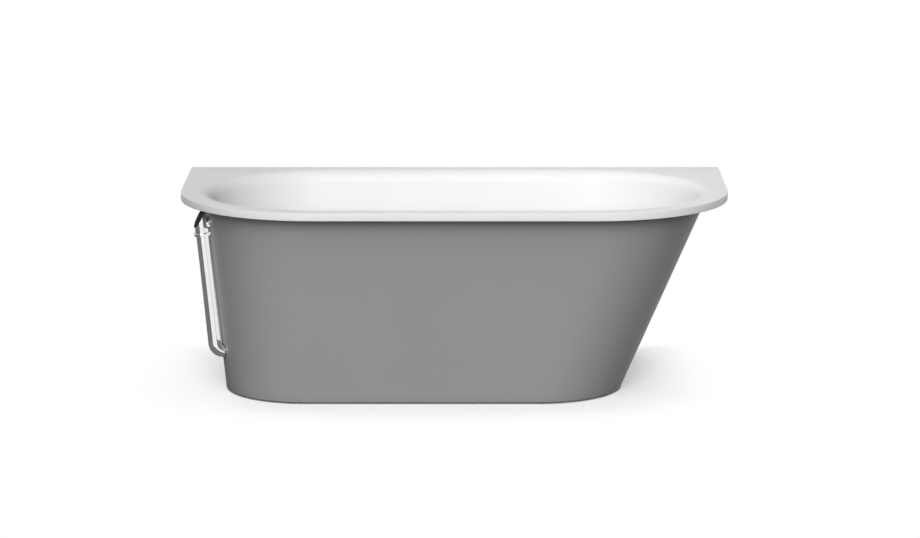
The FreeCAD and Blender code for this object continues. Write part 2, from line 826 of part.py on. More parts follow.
# Lower leg: grommet in the skirt, rubber coupling with its clamps, return pipe to the waste.
grommet = ring(
    "leg_grommet",
    "tube_radius + sliding_fit",
    "tube_radius + grommet_wall",
    "leg_wall - grommet_recess - grommet_depth",
    "leg_wall - grommet_recess",
)
node("leg_grommet", on_leg(grommet))
LEG_INNER = "(leg_start - leg_length)"
COUPLING_LOW = f"({LEG_INNER} - pipe_end_gap / 2 - coupling_length / 2)"
COUPLING_HIGH = f"({COUPLING_LOW} + coupling_length)"
COUPLING_OUTER = "(tube_radius + sliding_fit + coupling_wall)"
coupling = ring("coupling_sleeve", "tube_radius + sliding_fit", COUPLING_OUTER, COUPLING_LOW, COUPLING_HIGH)
node("coupling_sleeve", on_leg(coupling))
clamps = []
for number, low in enumerate((f"{COUPLING_LOW} + clamp_inset", f"{COUPLING_HIGH} - clamp_inset - clamp_width")):
    band = ring(
        f"clamp_band_{number}",
        COUPLING_OUTER,
        f"{COUPLING_OUTER} + clamp_thickness",
        low,
        f"{low} + clamp_width",
    )
    clamps.append(on_leg(band))
node("coupling_clamps", group("coupling_clamps", clamps))
PORT_END = "(waste_radius + port_length)"
PORT_STOP = "(waste_radius + port_stop)"
return_pipe = ring(
    "return_pipe",
    "tube_radius - pipe_wall",
    "tube_radius",
    PORT_STOP,
    f"{LEG_INNER} - pipe_end_gap",
)
node("return_pipe", on_leg(return_pipe))


# A slip joint: a nut with grips around its rim, holding a seal against the end of a socket.
def slip_nut(name, end):
    outer = "(tube_radius + sliding_fit + port_wall + sliding_fit)"
    body = turned(
        name,
        [
            (outer, f"{end} + slip_seal_length - slip_nut_length + slip_nut_lip"),
            (f"{outer} + slip_nut_wall", f"{end} + slip_seal_length - slip_nut_length + slip_nut_lip"),
            (f"{outer} + slip_nut_wall", f"{end} + slip_seal_length + slip_nut_lip"),
            ("tube_radius + sliding_fit", f"{end} + slip_seal_length + slip_nut_lip"),
            ("tube_radius + sliding_fit", f"{end} + slip_seal_length"),
            (outer, f"{end} + slip_seal_length"),
        ],
    )
    grip(body, f"{outer} + slip_nut_wall", f"{end} + slip_seal_length - slip_nut_length")
    return body


def grip(body, radius, low):
    """Shallow flutes around a nut, so that a hand or a wrench can turn it."""
    sketch = sketch_on(body, "XY_Plane", low)
    half = "nut_grip_width / 2"
    polygon(sketch, box_profile(f"{radius} - nut_grip_depth", f"{radius} + overrun", "-" + half, half))
    pocket = extrude(body, "Pocket", sketch, "4 * slip_nut_length", reverse=True)
    pattern = body.newObject("PartDesign::PolarPattern", body.Name + "Grips")
    pattern.Originals = [pocket]
    pattern.Axis = (sketch, ["N_Axis"])
    pattern.Angle = FULL_TURN
    pattern.Occurrences = GRIPS
    body.Tip = pattern


def slip_seal(name, end):
    return ring(name, "tube_radius", "tube_radius + sliding_fit + port_wall", end, f"{end} + slip_seal_length")


node("port_nut", on_leg(slip_nut("port_nut", PORT_END)))
node("port_seal", on_leg(slip_seal("port_seal", PORT_END)))

# Waste: flange with a spider for the plug, seals above and below the floor, waste body with the side port.
RECESS_FLOOR = f"({FLOOR_TOP} - drain_recess_depth)"
FLANGE_UNDER = f"({RECESS_FLOOR} + upper_seal_thickness)"
FLANGE_TOP = f"({FLANGE_UNDER} + flange_thickness)"
TAIL_BORE = "(tail_radius - tail_wall)"
TAIL_END = f"({FLANGE_UNDER} - tail_length)"
HUB_TOP = f"({FLANGE_TOP} - hub_drop)"
flange = turned(
    "waste_flange",
    [
        (TAIL_BORE, TAIL_END),
        ("tail_radius", TAIL_END),
        ("tail_radius", FLANGE_UNDER),
        ("flange_radius", FLANGE_UNDER),
        ("flange_radius", FLANGE_TOP),
        (TAIL_BORE, FLANGE_TOP),
    ],
)
for turn in ("X", "Y"):
    spoke = sketch_on(flange, "XY_Plane", f"{HUB_TOP} - hub_height")
    long_way = f"{TAIL_BORE} + tail_wall / 2"
    short_way = "spoke_width / 2"
    across, along = (long_way, short_way) if turn == "X" else (short_way, long_way)
    polygon(spoke, box_profile(f"-({across})", across, f"-({along})", along))
    extrude(flange, "Pad", spoke, "hub_height")
upright_pin(flange, "hub_radius", f"{HUB_TOP} - hub_height", HUB_TOP)
upright_pin(flange, "cartridge_radius + sliding_fit", f"{HUB_TOP} - hub_height", HUB_TOP, "Pocket")
node("waste_flange", on_waste(flange))
upper_seal = ring("waste_upper_seal", "drain_hole_radius", "flange_radius", RECESS_FLOOR, FLANGE_UNDER)
node("waste_upper_seal", on_waste(upper_seal))
lower_seal = ring("waste_lower_seal", "drain_hole_radius", "waste_flange_radius", WASTE_TOP, FLOOR_UNDER)
node("waste_lower_seal", on_waste(lower_seal))
WASTE_FLOOR_TOP = f"({WASTE_FLOOR} + waste_floor_thickness)"
waste = turned(
    "waste_body",
    [
        ("tail_radius + sliding_fit", WASTE_TOP),
        ("tail_radius + sliding_fit", TAIL_END),
        ("waste_radius - waste_wall", TAIL_END),
        ("waste_radius - waste_wall", WASTE_FLOOR_TOP),
        ("spigot_radius - spigot_wall", WASTE_FLOOR_TOP),
        ("spigot_radius - spigot_wall", SPIGOT_END),
        ("spigot_radius", SPIGOT_END),
        ("spigot_radius", WASTE_FLOOR),
        ("waste_radius", WASTE_FLOOR),
        ("waste_radius", f"{WASTE_TOP} - waste_flange_height"),
        ("waste_flange_radius", f"{WASTE_TOP} - waste_flange_height"),
        ("waste_flange_radius", WASTE_TOP),
    ],
)
PORT_OUTER = "(tube_radius + sliding_fit + port_wall)"


def add_port(body, role, height, start, stop, end, reverse):
    """A level socket on the side of a turned body, with a stop for the pipe."""
    for kind, radius, low, high in (
        ("Pad", PORT_OUTER, start, end),
        ("Pocket", "tube_radius - pipe_wall", "0", end),
        ("Pocket", "tube_radius + sliding_fit", stop, end),
    ):
        sketch = sketch_on(body, role, f"-({low})" if reverse else low)
        circle(sketch, radius, "0", height)
        going_back = reverse if kind == "Pad" else not reverse
        extrude(body, kind, sketch, f"({high}) - ({low})", reverse=going_back)


add_port(waste, "YZ_Plane", LEG_HEIGHT, "(waste_radius - waste_wall / 2)", PORT_STOP, PORT_END, False)
node("waste_body", place(waste, DRAIN_X, turn=OUTWARD))

# Push-open plug: cap, seal and stem rise together; cartridge and spring stay in the flange's hub.
SEAL_LOW = f"({FLANGE_TOP} + plug_gap)"
CAP_UNDER = f"({SEAL_LOW} + plug_seal_thickness)"
CAP_TOP = f"({CAP_UNDER} + plug_thickness)"
plug_cap = turned("plug_cap", box_profile("0", "plug_radius", CAP_UNDER, CAP_TOP))
round_edges(plug_cap, "plug_round", lambda edge: level_at(edge, value(CAP_TOP)))
node("plug_cap", on_waste(plug_cap))
node("plug_seal", on_waste(ring("plug_seal", "plug_seal_inner", "plug_seal_outer", SEAL_LOW, CAP_UNDER)))
CARTRIDGE_TOP = f"({HUB_TOP} + cartridge_drop)"
CARTRIDGE_LOW = f"({CARTRIDGE_TOP} - cartridge_length)"
SPRING_LOW = f"({CARTRIDGE_LOW} + cartridge_end)"
COLLAR_LOW = f"({SPRING_LOW} + spring_length)"
stem = turned(
    "plug_stem",
    [
        ("0", f"{CAP_UNDER} - stem_length"),
        ("stem_radius", f"{CAP_UNDER} - stem_length"),
        ("stem_radius", COLLAR_LOW),
        ("stem_collar_radius", COLLAR_LOW),
        ("stem_collar_radius", f"{COLLAR_LOW} + stem_collar_height"),
        ("stem_radius", f"{COLLAR_LOW} + stem_collar_height"),
        ("stem_radius", CAP_UNDER),
        ("0", CAP_UNDER),
    ],
)
node("plug_stem", on_waste(stem))
CARTRIDGE_BORE = "cartridge_radius - cartridge_wall"
cartridge = turned(
    "plug_cartridge",
    [
        ("stem_radius + plug_gap", CARTRIDGE_LOW),
        ("cartridge_radius", CARTRIDGE_LOW),
        ("cartridge_radius", CARTRIDGE_TOP),
        ("stem_radius + plug_gap", CARTRIDGE_TOP),
        ("stem_radius + plug_gap", f"{CARTRIDGE_TOP} - cartridge_end"),
        (CARTRIDGE_BORE, f"{CARTRIDGE_TOP} - cartridge_end"),
        (CARTRIDGE_BORE, SPRING_LOW),
        ("stem_radius + plug_gap", SPRING_LOW),
    ],
)
node("plug_cartridge", on_waste(cartridge))
wire = value("spring_wire_radius")
coil_height = value("spring_length") - 2 * wire - 2 * value("plug_gap")
coil = Part.makeHelix(coil_height / value("spring_turns"), coil_height, value("spring_radius"))
wire_start = FreeCAD.Vector(value("spring_radius"), 0, 0)
wire_end = Part.Wire(Part.makeCircle(wire, wire_start, FreeCAD.Vector(0, 1, 0)))
spring = doc.addObject("Part::Feature", "plug_spring")
spring.Shape = Part.Wire(coil).makePipeShell([wire_end], True, True)
place(spring, DRAIN_X, z=f"{SPRING_LOW} + spring_wire_radius + plug_gap")
node("plug_spring", spring)

# Trap: union nut, seal, body with its dip tube and outlet socket, cup and cup seal.
NECK_TOP = f"({SPIGOT_END} - trap_seal_thickness)"
TRAP_TOP = f"({NECK_TOP} - trap_neck_height)"
TRAP_LOWER = f"({TRAP_TOP} - trap_height)"
DIP_END = f"({TRAP_TOP} - dip_tube_length)"
CUP_TOP = f"({TRAP_LOWER} + cup_overlap)"
CUP_BASE = f"({TRAP_LOWER} - cup_depth)"
OUTLET_HEIGHT = f"({TRAP_TOP} - outlet_drop)"
trap = turned(
    "trap_body",
    [
        ("dip_tube_radius - trap_wall", DIP_END),
        ("dip_tube_radius", DIP_END),
        ("dip_tube_radius", f"{TRAP_TOP} - trap_wall"),
        ("trap_radius - trap_wall", f"{TRAP_TOP} - trap_wall"),
        ("trap_radius - trap_wall", TRAP_LOWER),
        ("trap_radius", TRAP_LOWER),
        ("trap_radius", TRAP_TOP),
        ("dip_tube_radius + trap_wall", TRAP_TOP),
        ("dip_tube_radius + trap_wall", NECK_TOP),
        ("dip_tube_radius - trap_wall", NECK_TOP),
    ],
)
OUTLET_STOP = "(trap_radius + port_stop)"
OUTLET_END = "(outlet_port_start + outlet_port_length)"
outlet_pad = sketch_on(trap, "XZ_Plane", "-outlet_port_start")
circle(outlet_pad, PORT_OUTER, "0", OUTLET_HEIGHT)
extrude(trap, "Pad", outlet_pad, "outlet_port_length", reverse=True)
outlet_bore = sketch_on(trap, "XZ_Plane", f"-{OUTLET_END}")
circle(outlet_bore, "dip_tube_radius - trap_wall", "0", OUTLET_HEIGHT)
extrude(trap, "Pocket", outlet_bore, "outlet_port_length + trap_wall", reverse=True)
outlet_socket = sketch_on(trap, "XZ_Plane", f"-{OUTLET_END}")
circle(outlet_socket, "tube_radius + sliding_fit", "0", OUTLET_HEIGHT)
extrude(trap, "Pocket", outlet_socket, f"{OUTLET_END} - {OUTLET_STOP}", reverse=True)
node("trap_body", on_waste(trap))
trap_seal = ring("trap_seal", "spigot_radius - spigot_wall", "dip_tube_radius + trap_wall", NECK_TOP, SPIGOT_END)
node("trap_seal", on_waste(trap_seal))
union = turned(
    "trap_nut",
    [
        ("dip_tube_radius + trap_wall + loose_fit", f"{TRAP_TOP} + loose_fit"),
        ("trap_nut_radius", f"{TRAP_TOP} + loose_fit"),
        ("trap_nut_radius", f"{WASTE_FLOOR} - loose_fit"),
        ("spigot_radius + sliding_fit", f"{WASTE_FLOOR} - loose_fit"),
        ("spigot_radius + sliding_fit", f"{SPIGOT_END} + loose_fit"),
        ("dip_tube_radius + trap_wall + loose_fit", f"{SPIGOT_END} + loose_fit"),
    ],
)
grip(union, "trap_nut_radius", TRAP_TOP)
node("trap_nut", on_waste(union))
cup = turned(
    "trap_cup",
    [
        ("0", CUP_BASE),
        ("trap_cup_radius", CUP_BASE),
        ("trap_cup_radius", CUP_TOP),
        ("trap_radius + sliding_fit", CUP_TOP),
        ("trap_radius + sliding_fit", f"{TRAP_LOWER} - cup_seal_thickness"),
        ("trap_radius - trap_wall", f"{TRAP_LOWER} - cup_seal_thickness"),
        ("trap_radius - trap_wall", f"{CUP_BASE} + trap_wall"),
        ("0", f"{CUP_BASE} + trap_wall"),
    ],
)
node("trap_cup", on_waste(cup))
cup_seal = ring(
    "trap_cup_seal",
    "trap_radius - trap_wall",
    "trap_radius",
    f"{TRAP_LOWER} - cup_seal_thickness",
    TRAP_LOWER,
)
node("trap_cup_seal", on_waste(cup_seal))


def on_outlet(item):
    """Origin on the waste's axis, Z axis level and towards the wall."""
    return place(item, DRAIN_X, "0", OUTLET_HEIGHT, "90", "90")


PIPE_END = "(rim_depth / 2 - outlet_from_wall)"
outlet_pipe = turned(
    "outlet_pipe",
    [
        ("tube_radius - pipe_wall", OUTLET_STOP),
        ("tube_radius", OUTLET_STOP),
        ("tube_radius", f"{PIPE_END} - spigot_reach - depth_mark_width"),
        ("tube_radius - depth_mark_cut", f"{PIPE_END} - spigot_reach - depth_mark_width"),
        ("tube_radius - depth_mark_cut", f"{PIPE_END} - spigot_reach"),
        ("tube_radius", f"{PIPE_END} - spigot_reach"),
        ("tube_radius", PIPE_END),
        ("tube_radius - pipe_wall", PIPE_END),
    ],
)
node("outlet_pipe", on_outlet(outlet_pipe))
node("outlet_nut", on_outlet(slip_nut("outlet_nut", OUTLET_END)))
node("outlet_seal", on_outlet(slip_seal("outlet_seal", OUTLET_END)))

# Support: folded cross rails bolted to inserts in the bosses.
RAIL_HALF = f"({SKIRT_FRONT['base']} - rail_end_gap)"
FOOT_Y = f"({RAIL_HALF} - foot_from_rail_end)"
TIE_Y = f"-{RAIL_HALF} + tie_hole_from_end"
for name, rail_x in zip(("rail_left", "rail_right"), RAIL_CENTRES):
    rail = new_body("cross_" + name)
    half = "rail_width / 2"
    hollow = "(rail_width / 2 - rail_gauge)"
    foot_line = f"({RAIL_TOP} - rail_height)"
    fold = sketch_on(rail, "XZ_Plane")
    polygon(
        fold,
        [
            ("-" + half, foot_line),
            ("-" + hollow, foot_line),
            ("-" + hollow, WEB_UNDER),
            (hollow, WEB_UNDER),
            (hollow, foot_line),
            (half, foot_line),
            (half, RAIL_TOP),
            ("-" + half, RAIL_TOP),
        ],
    )
    extrude(rail, "Pad", fold, f"2 * {RAIL_HALF}", both_ways=True)
    holes = sketch_on(rail, "XY_Plane", RAIL_TOP)
    for side in SIDES:
        circle(holes, "bolt_radius + loose_fit", "0", side + "boss_from_middle")
        circle(holes, "foot_screw_radius + loose_fit", "0", side + FOOT_Y)
    circle(holes, "tie_bolt_radius + loose_fit", "0", TIE_Y)
    extrude(rail, "Pocket", holes, "rail_height")
    node(name, place(rail, rail_x))

inserts = []
bolts = []
foot_nuts = []
tie_bolts = []
tie_nuts = []
BOLT_TOP = f"({RAIL_TOP} + bolt_length)"
for rail_x in RAIL_CENTRES:
    for side in SIDES:
        boss_y = side + "boss_from_middle"
        foot_y = side + FOOT_Y
        insert = ring(
            "insert",
            "bolt_radius + sliding_fit",
            "insert_radius",
            RAIL_TOP,
            f"{RAIL_TOP} + insert_length",
        )
        inserts.append(place(insert, rail_x, boss_y))
        bolt = prism("bolt", HEX_SIDES, "bolt_head_radius", "", f"{WEB_UNDER} - bolt_head_height", WEB_UNDER)
        upright_pin(bolt, "bolt_radius", WEB_UNDER, BOLT_TOP)
        bolts.append(place(bolt, rail_x, boss_y))
        for low in (RAIL_TOP, f"{WEB_UNDER} - foot_nut_height"):
            nut = prism(
                "foot_nut",
                HEX_SIDES,
                "foot_nut_radius",
                "foot_screw_radius + sliding_fit",
                low,
                f"{low} + foot_nut_height",
            )
            foot_nuts.append(place(nut, rail_x, foot_y))
    tie_bolt = prism(
        "tie_bolt",
        HEX_SIDES,
        "tie_bolt_head_radius",
        "",
        f"{WEB_UNDER} - tie_bolt_head_height",
        WEB_UNDER,
    )
    tie_nut_low = f"({RAIL_TOP} + tie_gauge)"
    tie_nut_high = f"({tie_nut_low} + tie_bolt_head_height)"
    upright_pin(tie_bolt, "tie_bolt_radius", WEB_UNDER, f"{tie_nut_high} + loose_fit")
    tie_bolts.append(place(tie_bolt, rail_x, TIE_Y))
    tie_nut = prism(
        "tie_nut",
        HEX_SIDES,
        "tie_bolt_head_radius",
        "tie_bolt_radius + sliding_fit",
        tie_nut_low,
        tie_nut_high,
    )
    tie_nuts.append(place(tie_nut, rail_x, TIE_Y))
node("rail_inserts", group("rail_inserts", inserts))
node("rail_bolts", group("rail_bolts", bolts))
node("foot_nuts", group("foot_nuts", foot_nuts))
node("tie_bolts", group("tie_bolts", tie_bolts))
node("tie_nuts", group("tie_nuts", tie_nuts))

# Levelling feet: a screw with a spanner hexagon, turning in a round pad.
FOOT_SCREW_TOP = f"({RAIL_TOP} + foot_screw_stand)"
for end, rail_x in zip(("left", "right"), RAIL_CENTRES):
    for row, side in zip(("front", "back"), SIDES):
        foot_y = side + FOOT_Y
        pad = turned(
            f"foot_pad_{row}_{end}",
            [
                ("0", "0"),
                ("pad_radius", "0"),
                ("pad_radius", "pad_rim_height"),
                ("pad_neck_radius", "pad_height"),
                ("foot_screw_radius + sliding_fit", "pad_height"),
                ("foot_screw_radius + sliding_fit", "pad_socket_floor"),
                ("0", "pad_socket_floor"),
            ],
        )
        node(f"foot_pad_{row}_{end}", place(pad, rail_x, foot_y))
        hex_low = "(pad_height + foot_hex_gap)"
        screw = prism(
            f"foot_screw_{row}_{end}",
            HEX_SIDES,
            "foot_nut_radius",
            "",
            hex_low,
            f"{hex_low} + foot_hex_height",
        )
        upright_pin(screw, "foot_screw_radius", "pad_socket_floor + sliding_fit", FOOT_SCREW_TOP)
        node(f"foot_screw_{row}_{end}", place(screw, rail_x, foot_y))

# Ties from the rails' front ends to the skirt's front wall, bonded on its inside.
def skirt_front_inside(height):
    return f"-({SKIRT_FRONT['base']} + tan(skirt_angle_front) * ({height} - floor_gap) - skirt_wall - glue_gap)"


TIE_TOP = f"({RAIL_TOP} + tie_gauge)"
TIE_LOW = f"({RAIL_TOP} - tie_drop)"
for name, rail_x in zip(("skirt_tie_left", "skirt_tie_right"), RAIL_CENTRES):
    tie = new_body(name)
    fold = sketch_on(tie, "YZ_Plane")
    polygon(
        fold,
        [
            (skirt_front_inside(TIE_TOP), TIE_TOP),
            (skirt_front_inside(TIE_LOW), TIE_LOW),
            (f"{skirt_front_inside(TIE_LOW)} + tie_gauge", TIE_LOW),
            (f"{skirt_front_inside(RAIL_TOP)} + tie_gauge", RAIL_TOP),
            (f"{TIE_Y} + tie_past_hole", RAIL_TOP),
            (f"{TIE_Y} + tie_past_hole", TIE_TOP),
        ],
    )
    extrude(tie, "Pad", fold, "tie_width", both_ways=True)
    holes = sketch_on(tie, "XY_Plane", TIE_TOP)
    circle(holes, "tie_bolt_radius + loose_fit", "0", TIE_Y)
    extrude(tie, "Pocket", holes, "2 * tie_gauge")
    node(name, place(tie, rail_x))

# Wall brackets: folded angles under the rim's back edge, screwed up into the rim.
WALL = "rim_depth / 2"
for name, end in (("wall_bracket_left", "-"), ("wall_bracket_right", "")):
    bracket = new_body(name)
    fold = sketch_on(bracket, "YZ_Plane")
    polygon(
        fold,
        [
            (f"{WALL} - bracket_depth", RIM_UNDER),
            (f"{WALL} - bracket_depth", f"{RIM_UNDER} - bracket_gauge"),
            (f"{WALL} - bracket_gauge", f"{RIM_UNDER} - bracket_gauge"),
            (f"{WALL} - bracket_gauge", f"{RIM_UNDER} - bracket_drop"),
            (WALL, f"{RIM_UNDER} - bracket_drop"),
            (WALL, RIM_UNDER),
        ],
    )
    extrude(bracket, "Pad", fold, "bracket_length", both_ways=True)
    wall_holes = sketch_on(bracket, "XZ_Plane", f"-({WALL})")
    rim_holes = sketch_on(bracket, "XY_Plane", RIM_UNDER)
    for side in SIDES:
        across = side + "bracket_hole_spacing / 2"
        circle(wall_holes, "bracket_hole_radius", across, f"{RIM_UNDER} - bracket_hole_drop")
        circle(rim_holes, "screw_radius + loose_fit", across, BRACKET_SCREW_Y)
    extrude(bracket, "Pocket", wall_holes, "2 * bracket_gauge", reverse=True)
    extrude(bracket, "Pocket", rim_holes, "2 * bracket_gauge")
    node(name, place(bracket, f"{end}bracket_from_centre"))

screws = []
for screw_x, screw_y in screw_places:
    head_top = f"({RIM_UNDER} - bracket_gauge)"
    screw = turned(
        "bracket_screw",
        [
            ("0", f"{head_top} - screw_head_height"),
            ("screw_head_radius", f"{head_top} - screw_head_height"),
            ("screw_head_radius", head_top),
            ("screw_radius", head_top),
            ("screw_radius", f"{RIM_UNDER} + screw_length - loose_fit"),
            ("0", f"{RIM_UNDER} + screw_length - loose_fit"),
        ],
    )
    screws.append(place(screw, screw_x, screw_y))
node("bracket_screws", group("bracket_screws", screws))

doc.recompute()
os.makedirs("parts", exist_ok=True)
for item in doc.Objects:
    if "Invalid" in item.State or "Error" in item.State:
        raise RuntimeError(f"{item.Name} did not build: {item.State}")
for name, item in NODES.items():
    if item.Shape.isNull() or not item.Shape.isValid():
        raise RuntimeError(f"{name} has no valid shape")
    item.Shape.exportStep(f"parts/{name}.step")
print(len(NODES), "pieces written")
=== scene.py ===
import math
import bpy
from mathutils import Matrix, Vector


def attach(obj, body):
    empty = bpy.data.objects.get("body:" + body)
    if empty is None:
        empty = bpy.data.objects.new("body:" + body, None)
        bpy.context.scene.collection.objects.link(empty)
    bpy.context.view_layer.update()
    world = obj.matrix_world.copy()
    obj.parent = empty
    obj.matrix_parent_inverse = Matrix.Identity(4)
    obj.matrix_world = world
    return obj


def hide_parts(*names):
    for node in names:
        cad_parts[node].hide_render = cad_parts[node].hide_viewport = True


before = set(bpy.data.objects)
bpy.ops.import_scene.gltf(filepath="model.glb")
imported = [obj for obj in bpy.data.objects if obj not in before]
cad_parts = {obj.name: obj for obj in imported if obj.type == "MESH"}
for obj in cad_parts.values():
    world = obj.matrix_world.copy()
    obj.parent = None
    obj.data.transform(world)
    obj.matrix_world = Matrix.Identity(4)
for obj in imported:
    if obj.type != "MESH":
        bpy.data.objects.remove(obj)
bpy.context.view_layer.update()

# Basin: one casting of white mineral resin, a flat rim slab with a soft lip that rolls
# into the well. The mould leaves a satin gel coat with the faintest ripple. The rim's
# upright outer face is painted a lighter white, a painted highlight for the light it catches.
RIM_TOP = 0.615
RIM_UNDER = 0.591
RIM_HALF_LENGTH = 0.850
RIM_HALF_DEPTH = 0.425
RIM_CORNER = 0.420
RIM_EDGE_ROUND = 0.0018
WELL_DEPTH = 0.435
WELL_TOP = {"left": 0.759, "right": 0.770, "half": 0.342}
WELL_FLOOR = {"left": 0.706, "right": 0.560, "half": 0.265}
LIP_RADIUS = 0.042
FLOOR_BLEND = 0.070
BASIN_WALL = 0.008
FLOOR_THICKNESS = 0.011
DRAIN = Vector((-0.340, 0.0))
DRAIN_HOLE = 0.029
DRAIN_RECESS = 0.042
DRAIN_RECESS_DEPTH = 0.003
DRAIN_RECESS_EASE = 0.001
BOSS_RADIUS = 0.023
BOSS_HEIGHT = 0.011
BOSS_EASE = 0.0015
BOSS_FILLET = 0.004
BOSS_Y = 0.110
INSERT_RADIUS = 0.0065
RAIL_X = {"left": -0.240, "right": 0.249983}
END_STEPS = 96
SIDE_STEPS = 28
ARC_STEPS = 14
EDGE_TURNS = [math.radians(22.5 * turn) for turn in range(5)]
CREASE = math.radians(32)
TINY = 1e-9


class Field:
    """A socket in a finish's node tree: sums and products of fields add their nodes."""

    def __init__(self, tree, socket=None):
        self.tree = tree
        self.socket = socket

    def node(self, kind, settings=None, inputs=None, output=0):
        made = self.tree.nodes.new(kind)
        for name, setting in (settings or {}).items():
            setattr(made, name, setting)
        for name, given in (inputs or {}).items():
            if isinstance(given, Field):
                self.tree.links.new(given.socket, made.inputs[name])
            else:
                made.inputs[name].default_value = given
        return Field(self.tree, made.outputs[output])

    def maths(self, operation, first, second):
        return self.node("ShaderNodeMath", {"operation": operation}, {0: first, 1: second})

    def __add__(self, other):
        return self.maths("ADD", self, other)

    def __radd__(self, other):
        return self.maths("ADD", other, self)

    def __sub__(self, other):
        return self.maths("SUBTRACT", self, other)

    def __rsub__(self, other):
        return self.maths("SUBTRACT", other, self)

    def __mul__(self, other):
        return self.maths("MULTIPLY", self, other)

    def __rmul__(self, other):
        return self.maths("MULTIPLY", other, self)

    def noise(self, scale, detail=3.0):
        return self.node("ShaderNodeTexNoise", None, {"Vector": self, "Scale": scale, "Detail": detail})

    def blend(self, low, high):
        """Colour between two tones by this field."""
        tones = {0: self, 6: (*low, 1.0), 7: (*high, 1.0)}
        return self.node("ShaderNodeMix", {"data_type": "RGBA"}, tones, output=2)

    def smooth_step(self, low, high):
        settings = {"interpolation_type": "SMOOTHSTEP"}
        return self.node("ShaderNodeMapRange", settings, {"Value": self, "From Min": low, "From Max": high})

    def bump(self, strength, distance):
        return self.node("ShaderNodeBump", None, {"Height": self, "Strength": strength, "Distance": distance})


def new_finish(name, **constants):
    """A material with its fixed values set, the place on the piece as a field, and the
    call that links fields to its sockets."""
    material = bpy.data.materials.new(name)
    material.use_nodes = True
    tree = material.node_tree
    shader = tree.nodes["Principled BSDF"]
    for socket, constant in constants.items():
        shader.inputs[socket.replace("_", " ")].default_value = constant
    place = Field(tree).node("ShaderNodeTexCoord", output="Object")

    def feed(**fields):
        for socket, field in fields.items():
            tree.links.new(field.socket, shader.inputs[socket.replace("_", " ")])

    return material, place, feed


def new_object(name, part):
    points, faces = part
    mesh = bpy.data.meshes.new(name)
    mesh.from_pydata([tuple(point) for point in points], [], faces)
    made = bpy.data.objects.new(name, mesh)
    bpy.context.scene.collection.objects.link(made)
    return made


def new_piece(name, part, finish, node, body="tub"):
    """A finished piece that takes the place of one of the frame's nodes."""
    piece = new_object(name, part)
    piece.data.shade_smooth()
    piece.data.set_sharp_from_angle(angle=CREASE)
    piece.data.materials.append(finish)
    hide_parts(node)
    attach(piece, body)
    return piece


def skin(rings, closed=True, looped=False):
    """Points and quads between rings of equal length; looped joins the last ring to the first."""
    size = len(rings[0])
    points = [point for ring in rings for point in ring]
    faces = []
    last = len(rings) if looped else len(rings) - 1
    for row in range(last):
        below = row * size
        above = (row + 1) % len(rings) * size
        for step in range(size if closed else size - 1):
            after = (step + 1) % size
            faces.append((below + step, below + after, above + after, above + step))
    return points, faces


def joined(*parts):
    points, faces = [], []
    for part_points, part_faces in parts:
        shift = len(points)
        points += part_points
        faces += [tuple(corner + shift for corner in face) for face in part_faces]
    return points, faces


stations = [(1.0, math.radians(-90 + 180 * step / END_STEPS)) for step in range(END_STEPS)]
stations += [(1.0 - step / SIDE_STEPS, math.radians(90)) for step in range(SIDE_STEPS)]
stations += [(0.0, math.radians(90 + 180 * step / END_STEPS)) for step in range(END_STEPS)]
stations += [(step / SIDE_STEPS, math.radians(270)) for step in range(SIDE_STEPS)]


def well_size(side, depth):
    return WELL_TOP[side] + (WELL_FLOOR[side] - WELL_TOP[side]) * depth / WELL_DEPTH


def well_wall(station, depth):
    """Where the well's slanting wall stands at a depth, and which way it faces."""
    share, angle = station
    half = well_size("half", depth)
    left = half - well_size("left", depth)
    right = well_size("right", depth) - half
    outward = Vector((math.cos(angle), math.sin(angle)))
    return Vector((left + (right - left) * share, 0.0)) + outward * half, outward


def wall_slope(station):
    top, outward = well_wall(station, 0.0)
    low, outward = well_wall(station, WELL_DEPTH)
    return (top - low).dot(outward) / WELL_DEPTH


def round_section(station, radius, depth, outset, rounding):
    """An arc in a wall's own upright plane: the lip rolls over, the floor blend rolls under."""
    slope = wall_slope(station)
    spread = math.sqrt(1 + slope**2)
    turn = math.atan2(1.0, slope)
    angles = [turn * step / ARC_STEPS for step in range(ARC_STEPS + 1)]
    if rounding == "lip":
        centre = (radius * (spread - slope), radius)
        contact = radius * (1 - slope / spread)
        arc = [(centre[0] - radius * math.sin(a), centre[1] - radius * math.cos(a)) for a in angles]
    else:
        centre = (outset - slope * (depth - radius) - radius * spread, depth - radius)
        contact = depth - radius * (1 - slope / spread)
        arc = [(centre[0] + radius * math.sin(a), centre[1] + radius * math.cos(a)) for a in angles[::-1]]
    foot, outward = well_wall(station, contact)
    section = []
    for reach, down in arc:
        spot = foot + outward * (reach + slope * contact)
        section.append(Vector((spot.x, spot.y, RIM_TOP - down)))
    return section


def rim_edge(start, heading):
    """Where a line over the deck meets the rim's outline, and the outline's facing there."""
    straight = RIM_HALF_LENGTH - RIM_CORNER
    arc_y = RIM_CORNER - RIM_HALF_DEPTH
    hits = []
    if heading.y > TINY:
        hits.append(((RIM_HALF_DEPTH - start.y) / heading.y, Vector((0, 1))))
    if heading.y < -TINY:
        reach = (-RIM_HALF_DEPTH - start.y) / heading.y
        if abs(start.x + heading.x * reach) <= straight:
            hits.append((reach, Vector((0, -1))))
    for side in (-1, 1):
        if heading.x * side > TINY:
            reach = (side * RIM_HALF_LENGTH - start.x) / heading.x
            if start.y + heading.y * reach >= arc_y:
                hits.append((reach, Vector((side, 0))))
        centre = Vector((side * straight, arc_y))
        away = start - centre
        along = away.dot(heading)
        reach = -along + math.sqrt(max(along**2 - away.length_squared + RIM_CORNER**2, 0.0))
        spot = start + heading * reach
        if (spot.x - centre.x) * side >= 0 and spot.y <= arc_y:
            hits.append((reach, (spot - centre).normalized()))
    reach, facing = min(hits, key=lambda hit: hit[0])
    return start + heading * reach, facing


